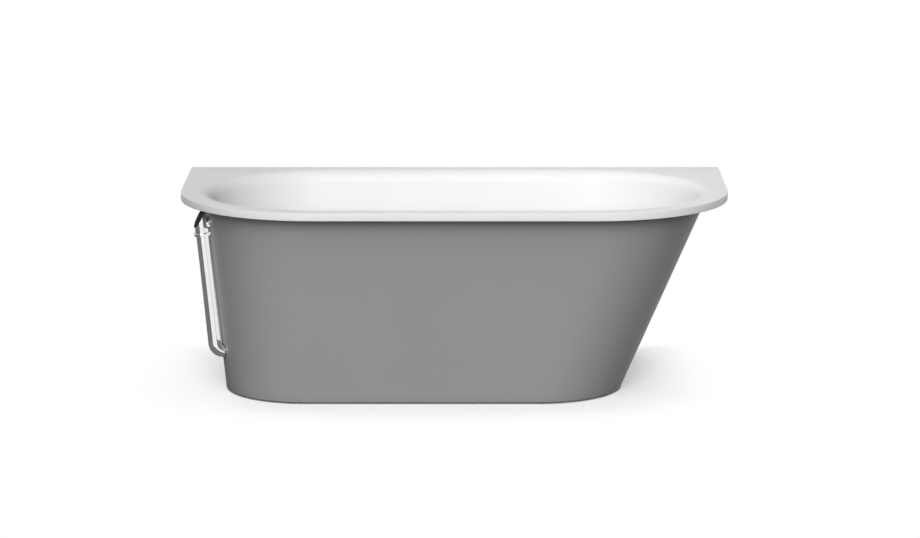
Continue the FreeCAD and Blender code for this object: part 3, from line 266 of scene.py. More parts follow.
lips = [round_section(station, LIP_RADIUS, 0.0, 0.0, "lip") for station in stations]
edges = []
for (share, angle), lip in zip(stations, lips):
    edges.append(rim_edge(lip[0].xy, Vector((math.cos(angle), math.sin(angle)))))
for side in (-1, 1):
    corner = Vector((side * RIM_HALF_LENGTH, RIM_HALF_DEPTH))
    nearest = min(range(len(edges)), key=lambda index: (edges[index][0] - corner).length)
    edges[nearest] = (corner, Vector((side, 1)))


def level_ring(spots, height):
    return [Vector((spot[0], spot[1], height)) for spot in spots]


def drain_ring(radius, height, targets):
    return level_ring([DRAIN + (target.xy - DRAIN).normalized() * radius for target in targets], height)


def spans(first, second, shares):
    """Rings on the way from one ring to another."""
    return [[one.lerp(two, share) for one, two in zip(first, second)] for share in shares]


floor_top = RIM_TOP - WELL_DEPTH
floor_under = floor_top - FLOOR_THICKNESS
outer_blend = FLOOR_BLEND + BASIN_WALL
under_depth = WELL_DEPTH + FLOOR_THICKNESS
blends = [round_section(station, FLOOR_BLEND, WELL_DEPTH, 0.0, "floor") for station in stations]
shells = [round_section(station, outer_blend, under_depth, BASIN_WALL, "floor") for station in stations]
lip_rings = [list(ring) for ring in zip(*lips)]
blend_rings = [list(ring) for ring in zip(*blends)]
shell_rings = [list(ring) for ring in zip(*shells)]
shell_top = []
for station in stations:
    spot, outward = well_wall(station, RIM_TOP - RIM_UNDER)
    shell_top.append(spot + outward * BASIN_WALL)
rings = [drain_ring(DRAIN_HOLE, floor_under, shell_rings[-1])]
rings += spans(rings[0], shell_rings[-1], (0.15, 0.4, 0.7))
rings += shell_rings[::-1]
rings += spans(shell_rings[0], level_ring(shell_top, RIM_UNDER), (0.2, 0.4, 0.6, 0.8, 1.0))
for height, way, turns in ((RIM_UNDER, 1, EDGE_TURNS), (RIM_TOP, -1, EDGE_TURNS[::-1])):
    for angle in turns:
        inset = RIM_EDGE_ROUND * (1 - math.sin(angle))
        lift = RIM_EDGE_ROUND * (1 - math.cos(angle))
        rings.append(level_ring([spot - facing * inset for spot, facing in edges], height + way * lift))
rings += lip_rings
rings += spans(lip_rings[-1], blend_rings[0], (0.1, 0.25, 0.4, 0.55, 0.7, 0.85))
rings += blend_rings
recess_edge = drain_ring(DRAIN_RECESS + DRAIN_RECESS_EASE, floor_top, blend_rings[-1])
rings += spans(blend_rings[-1], recess_edge, (0.12, 0.3, 0.5, 0.7, 0.88, 1.0))
rings.append(drain_ring(DRAIN_RECESS, floor_top - DRAIN_RECESS_EASE, blend_rings[-1]))
rings.append(drain_ring(DRAIN_RECESS, floor_top - DRAIN_RECESS_DEPTH, blend_rings[-1]))
rings.append(drain_ring(DRAIN_HOLE, floor_top - DRAIN_RECESS_DEPTH, blend_rings[-1]))


def circle(radius, height, steps):
    turns = [2 * math.pi * step / steps for step in range(steps)]
    return [Vector((radius * math.cos(a), radius * math.sin(a), height)) for a in turns]


def lathe(profile, steps=48, looped=True):
    """A turned solid about Z from (radius, height) pairs; pairs on the axis close it."""
    return skin([circle(radius, height, steps) for radius, height in profile], looped=looped)


def moved(part, matrix):
    points, faces = part
    return [matrix @ Vector(point) for point in points], faces


boss_top = floor_under + 0.001
boss_low = floor_under - BOSS_HEIGHT
boss_profile = [
    (INSERT_RADIUS, boss_low),
    (BOSS_RADIUS - BOSS_EASE, boss_low),
    (BOSS_RADIUS, boss_low + BOSS_EASE),
    (BOSS_RADIUS, floor_under - BOSS_FILLET),
    (BOSS_RADIUS + BOSS_EASE, floor_under - 0.0012),
    (BOSS_RADIUS + BOSS_FILLET, boss_top),
    (INSERT_RADIUS, boss_top),
]
at_bosses = [Matrix.Translation((x, y, 0)) for x in RAIL_X.values() for y in (-BOSS_Y, BOSS_Y)]
bosses = [moved(lathe(boss_profile), at_boss) for at_boss in at_bosses]

cast_white, place, feed = new_finish("cast_white", IOR=1.5, Specular_IOR_Level=0.35)
ripple = place.noise(9.0, 2.0)
haze = place.noise(140.0, 4.0)
height = place.node("ShaderNodeSeparateXYZ", None, {0: place}, output="Z")
facing = place.node("ShaderNodeTexCoord", output="Normal")
facing_up = place.node("ShaderNodeSeparateXYZ", None, {0: facing}, output="Z")
upright = 1 - facing_up.smooth_step(0.20, 0.42)
# Painted highlight: upright faces at the rim's outer edge get a lighter base colour for the light they catch.
painted_edge_highlight = upright * height.smooth_step(RIM_UNDER - 0.003, RIM_UNDER + 0.001)
feed(
    Base_Color=(haze * 0.15 + painted_edge_highlight * 0.85).blend((0.730, 0.730, 0.727), (0.865, 0.865, 0.862)),
    Roughness=0.40 + ripple * 0.08 + haze * 0.06,
    Normal=ripple.bump(0.05, 0.002),
)
casting = joined(skin(rings, looped=True), *bosses)
basin = new_piece("basin_casting", casting, cast_white, "basin")

# Overflow's place: the set stands off the skirt's left end and leans with it. Its stub and
# its leg go in through the walls, so the basin is drilled here and the skirt further down.
OVERFLOW_AT = Vector((-0.779697, -0.151400, 0.535166))
OVERFLOW_TURN = math.radians(199)
OVERFLOW_LEAN = math.radians(5.914255)
LEG_HEIGHT = 0.130
SEAT_OFFSET = 0.061234
SEAT_CUT = 0.0017
SEAT_RADIUS = 0.024
STUB_HOLE = 0.0175
RIGHT_ANGLE = math.radians(90)
on_tube = (
    Matrix.Translation(OVERFLOW_AT)
    @ Matrix.Rotation(OVERFLOW_TURN, 4, "Z")
    @ Matrix.Rotation(OVERFLOW_LEAN, 4, "Y")
)
on_stub = on_tube @ Matrix.Rotation(RIGHT_ANGLE, 4, "Y")
on_leg = (
    Matrix.Translation((DRAIN.x, DRAIN.y, LEG_HEIGHT))
    @ Matrix.Rotation(OVERFLOW_TURN, 4, "Z")
    @ Matrix.Rotation(RIGHT_ANGLE, 4, "Y")
)


def ring_outline(inner, outer, low, high):
    return [(inner, low), (outer, low), (outer, high), (inner, high)]


def pierce(piece, matrix, radius, low, high):
    """Cut a round hole through a piece along the Z axis of a matrix."""
    rod = lathe(ring_outline(0, radius, low, high), 64, looped=False)
    cutter = new_object("hole", moved(rod, matrix))
    mesh = cutter.data
    mesh.validate()
    cut = piece.modifiers.new("hole", "BOOLEAN")
    cut.object = cutter
    cut.solver = "EXACT"
    graph = bpy.context.evaluated_depsgraph_get()
    whole = piece.data
    piece.data = bpy.data.meshes.new_from_object(piece.evaluated_get(graph))
    piece.modifiers.clear()
    piece.data.name = whole.name
    bpy.data.meshes.remove(whole)
    bpy.data.objects.remove(cutter)
    bpy.data.meshes.remove(mesh)


pierce(basin, on_stub, SEAT_RADIUS, -SEAT_OFFSET - 0.024, -SEAT_OFFSET + SEAT_CUT)
pierce(basin, on_stub, STUB_HOLE, -SEAT_OFFSET - 0.02, -0.01)

# Skirt: a shell of the same resin, sprayed with a mid grey satin lacquer and bonded
# under the rim. Spraying leaves a fine orange peel and a very faint mottle.
SKIRT_BACK = 0.423
SKIRT_BASE = 0.005
SKIRT_WALL = 0.007
SKIRT_TOP_SIZE = {"left": 0.774, "right": 0.778, "front": 0.365, "r_left": 0.317, "r_right": 0.324}
SKIRT_BASE_SIZE = {"left": 0.71303, "right": 0.52198, "front": 0.30496, "r_left": 0.256, "r_right": 0.264}
SKIRT_RUNS = {"left": 16, "front_left": 72, "front": 40, "front_right": 72, "right": 16}
BASE_ROUND = 0.002
BASE_EASE = 0.001
OUTSIDE_ROWS = 24
INSIDE_ROWS = 12
LEG_WALL = 0.395413
LEG_HOLE = 0.0232
skirt_stations = [(run, step / count) for run, count in SKIRT_RUNS.items() for step in range(count)]
skirt_stations.append(("right", 1.0))


def skirt_spot(station, size, inset):
    """A spot of the skirt's plan, D-shaped and open at the back."""
    run, share = station
    left_x = size["r_left"] - size["left"]
    right_x = size["right"] - size["r_right"]
    left_y = size["r_left"] - size["front"]
    right_y = size["r_right"] - size["front"]
    if run == "left":
        return Vector((-size["left"] + inset, SKIRT_BACK + (left_y - SKIRT_BACK) * share))
    if run == "right":
        return Vector((size["right"] - inset, right_y + (SKIRT_BACK - right_y) * share))
    if run == "front":
        return Vector((left_x + (right_x - left_x) * share, -size["front"] + inset))
    start, centre, radius = 180, Vector((left_x, left_y)), size["r_left"]
    if run == "front_right":
        start, centre, radius = 270, Vector((right_x, right_y)), size["r_right"]
    angle = math.radians(start + 90 * share)
    return centre + Vector((math.cos(angle), math.sin(angle))) * (radius - inset)


def skirt_ring(height, inset):
    share = (RIM_UNDER - height) / (RIM_UNDER - SKIRT_BASE)
    ring = []
    for station in skirt_stations:
        top = skirt_spot(station, SKIRT_TOP_SIZE, inset)
        base = skirt_spot(station, SKIRT_BASE_SIZE, inset)
        ring.append(top.lerp(base, share))
    return level_ring(ring, height)


skirt_rows = []
for row in range(OUTSIDE_ROWS + 1):
    drop = (SKIRT_BASE + BASE_ROUND - RIM_UNDER) * row / OUTSIDE_ROWS
    skirt_rows.append(skirt_ring(RIM_UNDER + drop, 0.0))
for angle in EDGE_TURNS[1:]:
    lift = BASE_ROUND * (1 - math.sin(angle))
    skirt_rows.append(skirt_ring(SKIRT_BASE + lift, BASE_ROUND * (1 - math.cos(angle))))
skirt_rows.append(skirt_ring(SKIRT_BASE, SKIRT_WALL - BASE_EASE))
for row in range(INSIDE_ROWS + 1):
    rise = (RIM_UNDER - SKIRT_BASE - BASE_EASE) * row / INSIDE_ROWS
    skirt_rows.append(skirt_ring(SKIRT_BASE + BASE_EASE + rise, SKIRT_WALL))
skirt_points, skirt_faces = skin(skirt_rows, closed=False, looped=True)
length = len(skirt_stations)
skirt_faces.append(tuple(row * length for row in range(len(skirt_rows) - 1, -1, -1)))
skirt_faces.append(tuple(row * length + length - 1 for row in range(len(skirt_rows))))
lacquer_grey, place, feed = new_finish("lacquer_grey", IOR=1.5, Specular_IOR_Level=0.08)
mottle = place.noise(420.0, 5.0)
drift = place.noise(3.0, 2.0)
peel = place.noise(330.0, 2.0)
feed(
    Base_Color=(mottle * 0.7 + drift * 0.3).blend((0.299, 0.296, 0.289), (0.357, 0.354, 0.345)),
    Roughness=0.38 + mottle * 0.06 + drift * 0.05,
    Normal=peel.bump(0.06, 0.0006),
)
skirt = new_piece("skirt_shell", (skirt_points, skirt_faces), lacquer_grey, "skirt")
pierce(skirt, on_stub, STUB_HOLE, -SEAT_OFFSET, 0.0)
pierce(skirt, on_leg, LEG_HOLE, LEG_WALL / 2, LEG_WALL + 0.06)

# Overflow tube: drawn brass pipe, bent once near its foot, polished and chrome plated.
# It drops from the head and turns in through the skirt to the waste.
TUBE_RADIUS = 0.020
TUBE_BORE = 0.0185
BEND_RADIUS = 0.030
BEND_DROP = 0.380282
COLLAR_DROP = 0.028
TUBE_ENTRY = 0.008
LEG_LENGTH = 0.060
STRAIGHT_STEPS = 12
BEND_STEPS = 24
tube_path = []
for step in range(STRAIGHT_STEPS + 1):
    share = step / STRAIGHT_STEPS
    height = (TUBE_ENTRY - COLLAR_DROP) * (1 - share) - BEND_DROP * step / STRAIGHT_STEPS
    tube_path.append((Vector((0, 0, height)), 0.0))
bend_turn = math.pi / 2 - OVERFLOW_LEAN
bend_centre = Vector((-BEND_RADIUS, 0, -BEND_DROP))
for step in range(1, BEND_STEPS + 1):
    angle = bend_turn * step / BEND_STEPS
    tube_path.append((bend_centre + Vector((math.cos(angle), 0, -math.sin(angle))) * BEND_RADIUS, angle))
bend_end, angle = tube_path[-1]
tube_path.append((bend_end + Vector((-math.sin(angle), 0, -math.cos(angle))) * LEG_LENGTH, angle))


def tube_ring(spot, angle, radius, steps=72):
    ring = []
    for step in range(steps):
        turn = 2 * math.pi * step / steps
        out = Vector((math.cos(angle), 0, -math.sin(angle))) * math.cos(turn)
        ring.append(on_tube @ (spot + (out + Vector((0, math.sin(turn), 0))) * radius))
    return ring


tube_rings = [tube_ring(spot, angle, TUBE_RADIUS) for spot, angle in tube_path]
tube_rings += [tube_ring(spot, angle, TUBE_BORE) for spot, angle in reversed(tube_path)]
chrome, place, feed = new_finish("chrome", Metallic=1.0)
smear = place.noise(60.0, 3.0)
feed(
    Base_Color=smear.blend((0.83, 0.84, 0.85), (0.87, 0.875, 0.88)),
    Roughness=0.03 + smear * 0.05,
)
new_piece("overflow_pipe", skin(tube_rings, looped=True), chrome, "overflow_tube")

# Overflow head: a chrome plated sleeve cut at a slant under a short flat top, brazed to
# a stub that passes through both walls. A satin black cap closes the cut.
HEAD_RADIUS = 0.0215
HEAD_BORE = 0.02015
HEAD_EASE = 0.0004
FACE_ANGLE = math.radians(35)
FACE_DROP = 0.011
HEAD_TOP_RISE = 0.042
CAP_THICKNESS = 0.0025
CAP_GAP = 0.0001
CAP_EDGE = (
    (0.0003, CAP_GAP),
    (0.0, 0.0004),
    (0.0, CAP_THICKNESS - 0.0009),
    (0.0002, CAP_THICKNESS - 0.0004),
    (0.0008, CAP_THICKNESS),
    (0.0030, CAP_THICKNESS),
    (0.0036, CAP_THICKNESS - 0.0004),
)
STUB_RADIUS = 0.017
STUB_BORE = 0.014
STUB_START = 0.014
SEAL_THICKNESS = 0.0015
CLAMP_RING_HEIGHT = 0.005
STUB_END = SEAT_OFFSET - SEAT_CUT + SEAL_THICKNESS + CLAMP_RING_HEIGHT
FACE_STEPS = 44
TOP_STEPS = 14


def roof_loop(radius, lift):
    """The head's outline on its slanted face and flat top, lifted off them."""
    rise = HEAD_TOP_RISE + lift + FACE_DROP - lift / math.sin(FACE_ANGLE)
    fold = math.acos((HEAD_RADIUS - rise * math.tan(FACE_ANGLE)) / radius)
    turns = [fold * step / FACE_STEPS for step in range(FACE_STEPS)]
    turns += [fold + (math.pi - fold) * step / TOP_STEPS for step in range(TOP_STEPS + 1)]
    turns += [-turn for turn in reversed(turns[1:-1])]
    loop = []
    for turn in turns:
        x = radius * math.cos(turn)
        slant = lift / math.sin(FACE_ANGLE) - FACE_DROP + (HEAD_RADIUS - x) / math.tan(FACE_ANGLE)
        loop.append(on_tube @ Vector((x, radius * math.sin(turn), min(slant, HEAD_TOP_RISE + lift))))
    return loop


def head_loop(radius, height):
    loop = []
    for point in roof_loop(radius, 0.0):
        spot = on_tube.inverted() @ point
        loop.append(on_tube @ Vector((spot.x, spot.y, height)))
    return loop


def roof_fill(start):
    """Faces across a loop, from one side to the other, row by row."""
    half = FACE_STEPS + TOP_STEPS
    count = 2 * half
    faces = []
    for row in range(half):
        corners = (row, row + 1, (count - row - 1) % count, (count - row) % count)
        faces.append(tuple(dict.fromkeys(start + corner for corner in corners)))
    return faces


head_loops = [
    head_loop(HEAD_RADIUS - HEAD_EASE, -COLLAR_DROP),
    head_loop(HEAD_RADIUS, -COLLAR_DROP + HEAD_EASE),
    roof_loop(HEAD_RADIUS, -CAP_GAP - HEAD_EASE),
    roof_loop(HEAD_RADIUS - HEAD_EASE, -CAP_GAP),
    roof_loop(HEAD_BORE, -CAP_GAP),
    head_loop(HEAD_BORE, -COLLAR_DROP),
]
stub = moved(lathe(ring_outline(STUB_BORE, STUB_RADIUS, -STUB_END, -STUB_START), 64), on_stub)
head = joined(skin(head_loops, looped=True), stub)
new_piece("overflow_sleeve", head, chrome, "overflow_head")

cap_loops = [roof_loop(HEAD_RADIUS - inset, lift) for inset, lift in CAP_EDGE]
cap_points, cap_faces = skin(cap_loops)
cap_faces += [tuple(reversed(face)) for face in roof_fill(0)]
cap_faces += roof_fill(len(cap_points) - len(cap_loops[0]))
cap_black, place, feed = new_finish("cap_black", IOR=1.45, Specular_IOR_Level=0.03)
dust = place.noise(180.0, 4.0)
feed(Base_Color=dust.blend((0.006, 0.006, 0.007), (0.012, 0.012, 0.013)), Roughness=0.42 + dust * 0.16)
new_piece("overflow_mouth_cap", (cap_points, cap_faces), cap_black, "overflow_cap")

# Collar: a ring turned from brass and chrome plated, rounded like a bead. It is pushed
# over the joint of tube and head and hides it.
COLLAR_RADIUS = 0.026
COLLAR_HEIGHT = 0.010
COLLAR_ROUND = 0.0042
SLIDING_FIT = 0.00015


def softened(profile, radius, steps=4):
    """The same closed outline with its corners rounded by up to the radius."""
    eased = []
    count = len(profile)
    for index, corner in enumerate(profile):
        here = Vector(corner)
        before = Vector(profile[index - 1]) - here
        after = Vector(profile[(index + 1) % count]) - here
        cut = min(radius, before.length * 0.45, after.length * 0.45)
        if before.length < TINY or after.length < TINY or here.x < TINY:
            eased.append(corner)
            continue
        start = here + before.normalized() * cut
        end = here + after.normalized() * cut
        for step in range(steps + 1):
            share = step / steps
            spot = start.lerp(here, share).lerp(here.lerp(end, share), share)
            eased.append((spot.x, spot.y))
    return eased


bead_low = -COLLAR_DROP - COLLAR_HEIGHT
bead_profile = ring_outline(TUBE_RADIUS + SLIDING_FIT, COLLAR_RADIUS, bead_low, -COLLAR_DROP)
bead = lathe(softened(bead_profile, COLLAR_ROUND, 8), 96)
new_piece("overflow_bead", moved(bead, on_tube), chrome, "overflow_collar")

# Seals and soft sleeves: moulded black rubber with a dull bloom. They keep the form
# they have when pressed between the fittings.
rubber_black, place, feed = new_finish("rubber_black", IOR=1.5)
bloom = place.noise(90.0, 4.0)
feed(
    Base_Color=bloom.blend((0.020, 0.020, 0.021), (0.045, 0.045, 0.046)),
    Roughness=0.58 + bloom * 0.22,
    Normal=place.noise(1500.0, 2.0).bump(0.2, 0.0002),
)
SEALS = (
    "overflow_seal",
    "leg_grommet",
    "port_seal",
    "waste_upper_seal",
    "waste_lower_seal",
    "plug_seal",
    "trap_seal",
    "trap_cup_seal",
    "outlet_seal",
)


def finish_nodes(names, finish):
    for name in names:
        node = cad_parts[name]
        node.data.materials.clear()
        node.data.materials.append(finish)


finish_nodes(SEALS, rubber_black)

# Cross rails: folded channels of galvanised steel that carry the tub, each with holes
# for two bolts into the basin, two feet and a tie. The zinc shows its spangle.
RAIL_HALF = 0.27496
RAIL_HALF_WIDTH = 0.020
RAIL_TOP = floor_under - BOSS_HEIGHT
RAIL_HEIGHT = 0.030
RAIL_GAUGE = 0.0025
WEB_UNDER = RAIL_TOP - RAIL_GAUGE
BEND_OUTSIDE = 0.0045
BEND_INSIDE = 0.002
CUT_EDGE = 0.0003
FOOT_Y = 0.21496
TIE_Y = -RAIL_HALF + 0.017
BOLT_HOLE = 0.0045
FOOT_HOLE = 0.0055
TIE_HOLE = 0.0035
RAIL_HOLES = (
    (BOLT_HOLE, -BOSS_Y),
    (BOLT_HOLE, BOSS_Y),
    (FOOT_HOLE, -FOOT_Y),
    (FOOT_HOLE, FOOT_Y),
    (TIE_HOLE, TIE_Y),
)
zinc_steel, place, feed = new_finish("zinc_steel", Metallic=1.0)
crystals = {"Vector": place, "Scale": 95.0}
spangle = place.node("ShaderNodeTexVoronoi", {"feature": "F1"}, crystals, output="Color")
grain = spangle.node("ShaderNodeSeparateColor", None, {"Color": spangle})
wipe = place.noise(40.0, 4.0)
feed(
    Base_Color=grain.blend((0.52, 0.54, 0.56), (0.63, 0.65, 0.67)),
    Roughness=0.28 + grain * 0.14 + wipe * 0.12,
)


def eased_outline(corners, steps=6):
    """A closed outline from (across, height, rounding) corners."""
    eased = []
    for index, (y, z, radius) in enumerate(corners):
        here = Vector((y, z))
        before = Vector(corners[index - 1][:2]) - here
        after = Vector(corners[(index + 1) % len(corners)][:2]) - here
        start = here + before.normalized() * radius
        end = here + after.normalized() * radius
        for step in range(steps + 1):
            share = step / steps
            eased.append(start.lerp(here, share).lerp(here.lerp(end, share), share))
    return eased


def folded_sheet(outline, half_width):
    """A folded outline in the YZ plane, drawn out along X to both sides."""
    ends = [[Vector((x, spot.x, spot.y)) for spot in outline] for x in (-half_width, half_width)]
    points, faces = skin(ends)
    count = len(outline)
    faces.append(tuple(range(count - 1, -1, -1)))
    faces.append(tuple(range(count, 2 * count)))
    return points, faces


rail_low = RAIL_TOP - RAIL_HEIGHT
channel = eased_outline(
    [
        (-RAIL_HALF_WIDTH, rail_low, CUT_EDGE),
        (-RAIL_HALF_WIDTH + RAIL_GAUGE, rail_low, CUT_EDGE),
        (-RAIL_HALF_WIDTH + RAIL_GAUGE, WEB_UNDER, BEND_INSIDE),
        (RAIL_HALF_WIDTH - RAIL_GAUGE, WEB_UNDER, BEND_INSIDE),
        (RAIL_HALF_WIDTH - RAIL_GAUGE, rail_low, CUT_EDGE),
        (RAIL_HALF_WIDTH, rail_low, CUT_EDGE),
        (RAIL_HALF_WIDTH, RAIL_TOP, BEND_OUTSIDE),
        (-RAIL_HALF_WIDTH, RAIL_TOP, BEND_OUTSIDE),
    ]
)
for end, rail_x in RAIL_X.items():
    at_rail = Matrix.Translation((rail_x, 0, 0))
    bar = moved(folded_sheet(channel, RAIL_HALF), at_rail @ Matrix.Rotation(RIGHT_ANGLE, 4, "Z"))
    rail = new_piece(f"cross_rail_{end}", bar, zinc_steel, f"rail_{end}")
    for radius, hole_y in RAIL_HOLES:
        at_hole = at_rail @ Matrix.Translation((0, hole_y, 0))
        pierce(rail, at_hole, radius, WEB_UNDER - 0.002, RAIL_TOP + 0.002)

# Inserts and bolts: knurled brass bushes cast into the basin's bosses take zinc plated
# hexagon bolts with a washer face, which pull the rails up against the bosses.
BOLT_RADIUS = 0.004
BOLT_PITCH = 0.00125
BOLT_HEAD = 0.007
BOLT_HEAD_HEIGHT = 0.005
BOLT_LENGTH = 0.012
WASHER_RADIUS = 0.0085
WASHER_THICKNESS = 0.0008
THREAD_OVERLAP = 0.0002
AXIS_RADIUS = 0.0002
HEX_EASES = (0.0, 0.0003, 0.0007, 0.0012)
HEX_CONE = 0.965
HEX_CONE_SLOPE = 1.7
THREAD_DEPTH = 0.55
THREAD_TIP = 0.86
brass, place, feed = new_finish("brass", Metallic=1.0)
tarnish = place.noise(120.0, 4.0)
feed(
    Base_Color=tarnish.blend((0.60, 0.44, 0.20), (0.74, 0.58, 0.30)),
    Roughness=0.22 + tarnish * 0.16,
)
finish_nodes(("rail_inserts",), brass)
bright_zinc, place, feed = new_finish("bright_zinc", Metallic=1.0)
plating = place.noise(400.0, 3.0)
feed(
    Base_Color=plating.blend((0.58, 0.60, 0.62), (0.70, 0.71, 0.72)),
    Roughness=0.20 + plating * 0.16,
)


def hexagon(corner, low, high, bore=0.0, steps=48):
    """A hexagon whose corners are turned off at both ends, solid or with a bore."""
    flat = corner * math.cos(math.pi / 6)
    heights = [low + ease for ease in HEX_EASES]
    heights += [high - ease for ease in reversed(HEX_EASES)]
    rows = []
    for height in heights:
        cone = flat * HEX_CONE + min(height - low, high - height) * HEX_CONE_SLOPE
        row = []
        for step in range(steps):
            turn = 2 * math.pi * step / steps
            side = flat / math.cos((turn + math.pi / 6) % (math.pi / 3) - math.pi / 6)
            radius = min(side, cone)
            row.append(Vector((radius * math.cos(turn), radius * math.sin(turn), height)))
        rows.append(row)
    hole = max(bore, AXIS_RADIUS)
    rows += [circle(hole, high, steps), circle(hole, low, steps)]
    return skin(rows, looped=True)


def threaded(radius, pitch, low, high, steps=20, rows_per_turn=6):
    """A screw thread cut around a rod, with both ends chamfered."""
    rows = []
    count = int((high - low) / pitch * rows_per_turn)
    for row in range(count + 1):
        height = low + (high - low) * row / count
        tip = min(height - low, high - height)
        ring = []
        for step in range(steps):
            wave = abs(((height / pitch - step / steps) % 1.0) * 2 - 1)
            local = min(radius - THREAD_DEPTH * pitch * wave, radius * THREAD_TIP + tip)
            turn = 2 * math.pi * step / steps
            ring.append(Vector((local * math.cos(turn), local * math.sin(turn), height)))
        rows.append(ring)
    points, faces = skin(rows)
    faces.append(tuple(range(steps - 1, -1, -1)))
    faces.append(tuple(range(count * steps, (count + 1) * steps)))
    return points, faces


washer_profile = ring_outline(AXIS_RADIUS, WASHER_RADIUS, WEB_UNDER - WASHER_THICKNESS, WEB_UNDER)
bolt = joined(
    lathe(softened(washer_profile, 0.0003)),
    hexagon(BOLT_HEAD, WEB_UNDER - BOLT_HEAD_HEIGHT, WEB_UNDER - 0.0006),
    threaded(BOLT_RADIUS, BOLT_PITCH, WEB_UNDER - THREAD_OVERLAP, RAIL_TOP + BOLT_LENGTH),
)
bolts = joined(*[moved(bolt, at_boss) for at_boss in at_bosses])
new_piece("basin_bolts", bolts, bright_zinc, "rail_bolts")

# Levelling feet: M10 threaded rods with a spanner hexagon, locked to the rail by a nut
# above and below, each turning in a moulded nylon pad that spreads the load.
FOOT_RADIUS = 0.005
FOOT_PITCH = 0.0015
FOOT_NUT = 0.0095
FOOT_NUT_HEIGHT = 0.006
FOOT_TOP = RAIL_TOP + 0.006
FOOT_FIT = 0.0002
PAD_RADIUS = 0.026
PAD_NECK = 0.012
PAD_HEIGHT = 0.016
PAD_SOCKET = 0.005
PAD_RIBS = 12
RIB_HALF = 0.0009
RIB_EASE = 0.0004
HEX_LOW = PAD_HEIGHT + 0.0005
HEX_HEIGHT = 0.007
FEET = [(row, end) for end in ("left", "right") for row in ("front", "back")]
plastic_dark, place, feed = new_finish("plastic_dark", IOR=1.5)
scuff = place.noise(70.0, 5.0)
feed(
    Base_Color=scuff.blend((0.030, 0.030, 0.032), (0.070, 0.070, 0.073)),
    Roughness=0.45 + scuff * 0.25,
    Normal=place.noise(900.0, 2.0).bump(0.2, 0.0002),
)


def spokes(outline, half_width, count, offset=0.0):
    """The same rib or arm set around the Z axis."""
    spins = [Matrix.Rotation(2 * math.pi * (step + offset) / count, 4, "Z") for step in range(count)]
    return [moved(folded_sheet(outline, half_width), spin) for spin in spins]


pad_profile = softened(
    [
        (AXIS_RADIUS, 0.0),
        (PAD_RADIUS, 0.0),
        (PAD_RADIUS, 0.005),
        (PAD_RADIUS - 0.006, 0.0075),
        (PAD_NECK + 0.001, 0.0105),
        (PAD_NECK, PAD_HEIGHT),
        (FOOT_RADIUS + FOOT_FIT, PAD_HEIGHT),
        (FOOT_RADIUS + FOOT_FIT, PAD_SOCKET),
        (AXIS_RADIUS, PAD_SOCKET),
    ],
    0.0012,
)
pad_rib = eased_outline(
    [
        (PAD_NECK - 0.001, 0.0098, RIB_EASE),
        (PAD_RADIUS - 0.0035, 0.0052, RIB_EASE),
        (PAD_RADIUS - 0.0035, 0.0068, RIB_EASE),
        (PAD_NECK - 0.001, 0.0138, RIB_EASE),
    ]
)
pad = joined(lathe(pad_profile, 64), *spokes(pad_rib, RIB_HALF, PAD_RIBS))
shank_profile = ring_outline(AXIS_RADIUS, FOOT_RADIUS, PAD_SOCKET + FOOT_FIT, HEX_LOW + 0.001)
screw = joined(
    lathe(softened(shank_profile, 0.0006), 32),
    hexagon(FOOT_NUT, HEX_LOW, HEX_LOW + HEX_HEIGHT),
    threaded(FOOT_RADIUS, FOOT_PITCH, HEX_LOW + 0.006, FOOT_TOP),
)
nut_parts = []
for row, end in FEET:
    foot = f"{row}_{end}"
    at_foot = Matrix.Translation((RAIL_X[end], -FOOT_Y if row == "front" else FOOT_Y, 0))
    foot_pad, foot_screw = moved(pad, at_foot), moved(screw, at_foot)
    new_piece(f"pad_{foot}", foot_pad, plastic_dark, f"foot_pad_{foot}", f"foot_{foot}")
    new_piece(
        f"levelling_screw_{foot}",
        foot_screw,
        bright_zinc,
        f"foot_screw_{foot}",
        f"screw_{foot}",
    )
    for low in (RAIL_TOP, WEB_UNDER - FOOT_NUT_HEIGHT):
        nut = hexagon(FOOT_NUT, low, low + FOOT_NUT_HEIGHT, FOOT_RADIUS + SLIDING_FIT)
        nut_parts.append(moved(nut, at_foot))
new_piece("levelling_nuts", joined(*nut_parts), bright_zinc, "foot_nuts")

# Skirt ties: folded steel straps bolted on the rails' front ends and bonded to the
# inside of the skirt, so that its long front wall can't drum.
TIE_GAUGE = 0.003
TIE_HALF_WIDTH = 0.015
TIE_DROP = 0.050
TIE_END = TIE_Y + 0.012
GLUE = 0.0004
TIE_BOLT_HEAD = 0.0055
TIE_BOLT_HEIGHT = 0.004
TIE_BOLT_RADIUS = 0.003
TIE_BOLT_PITCH = 0.001
tie_top = RAIL_TOP + TIE_GAUGE
tie_low = RAIL_TOP - TIE_DROP
front_lean = (SKIRT_TOP_SIZE["front"] - SKIRT_BASE_SIZE["front"]) / (RIM_UNDER - SKIRT_BASE)


def inside_front(height):
    return -(SKIRT_BASE_SIZE["front"] + front_lean * (height - SKIRT_BASE) - SKIRT_WALL - GLUE)


strap = eased_outline(
    [
        (inside_front(tie_top), tie_top, BEND_OUTSIDE),
        (inside_front(tie_low), tie_low, CUT_EDGE),
        (inside_front(tie_low) + TIE_GAUGE, tie_low, CUT_EDGE),
        (inside_front(RAIL_TOP) + TIE_GAUGE, RAIL_TOP, BEND_INSIDE),
        (TIE_END, RAIL_TOP, CUT_EDGE),
        (TIE_END, tie_top, CUT_EDGE),
    ]
)
tie_bolt = joined(
    hexagon(TIE_BOLT_HEAD, WEB_UNDER - TIE_BOLT_HEIGHT, WEB_UNDER),
    threaded(TIE_BOLT_RADIUS, TIE_BOLT_PITCH, WEB_UNDER - THREAD_OVERLAP, tie_top + 0.0045),
)
tie_nut = hexagon(TIE_BOLT_HEAD, tie_top, tie_top + TIE_BOLT_HEIGHT, TIE_BOLT_RADIUS + SLIDING_FIT)
at_ties = {end: Matrix.Translation((rail_x, TIE_Y, 0)) for end, rail_x in RAIL_X.items()}
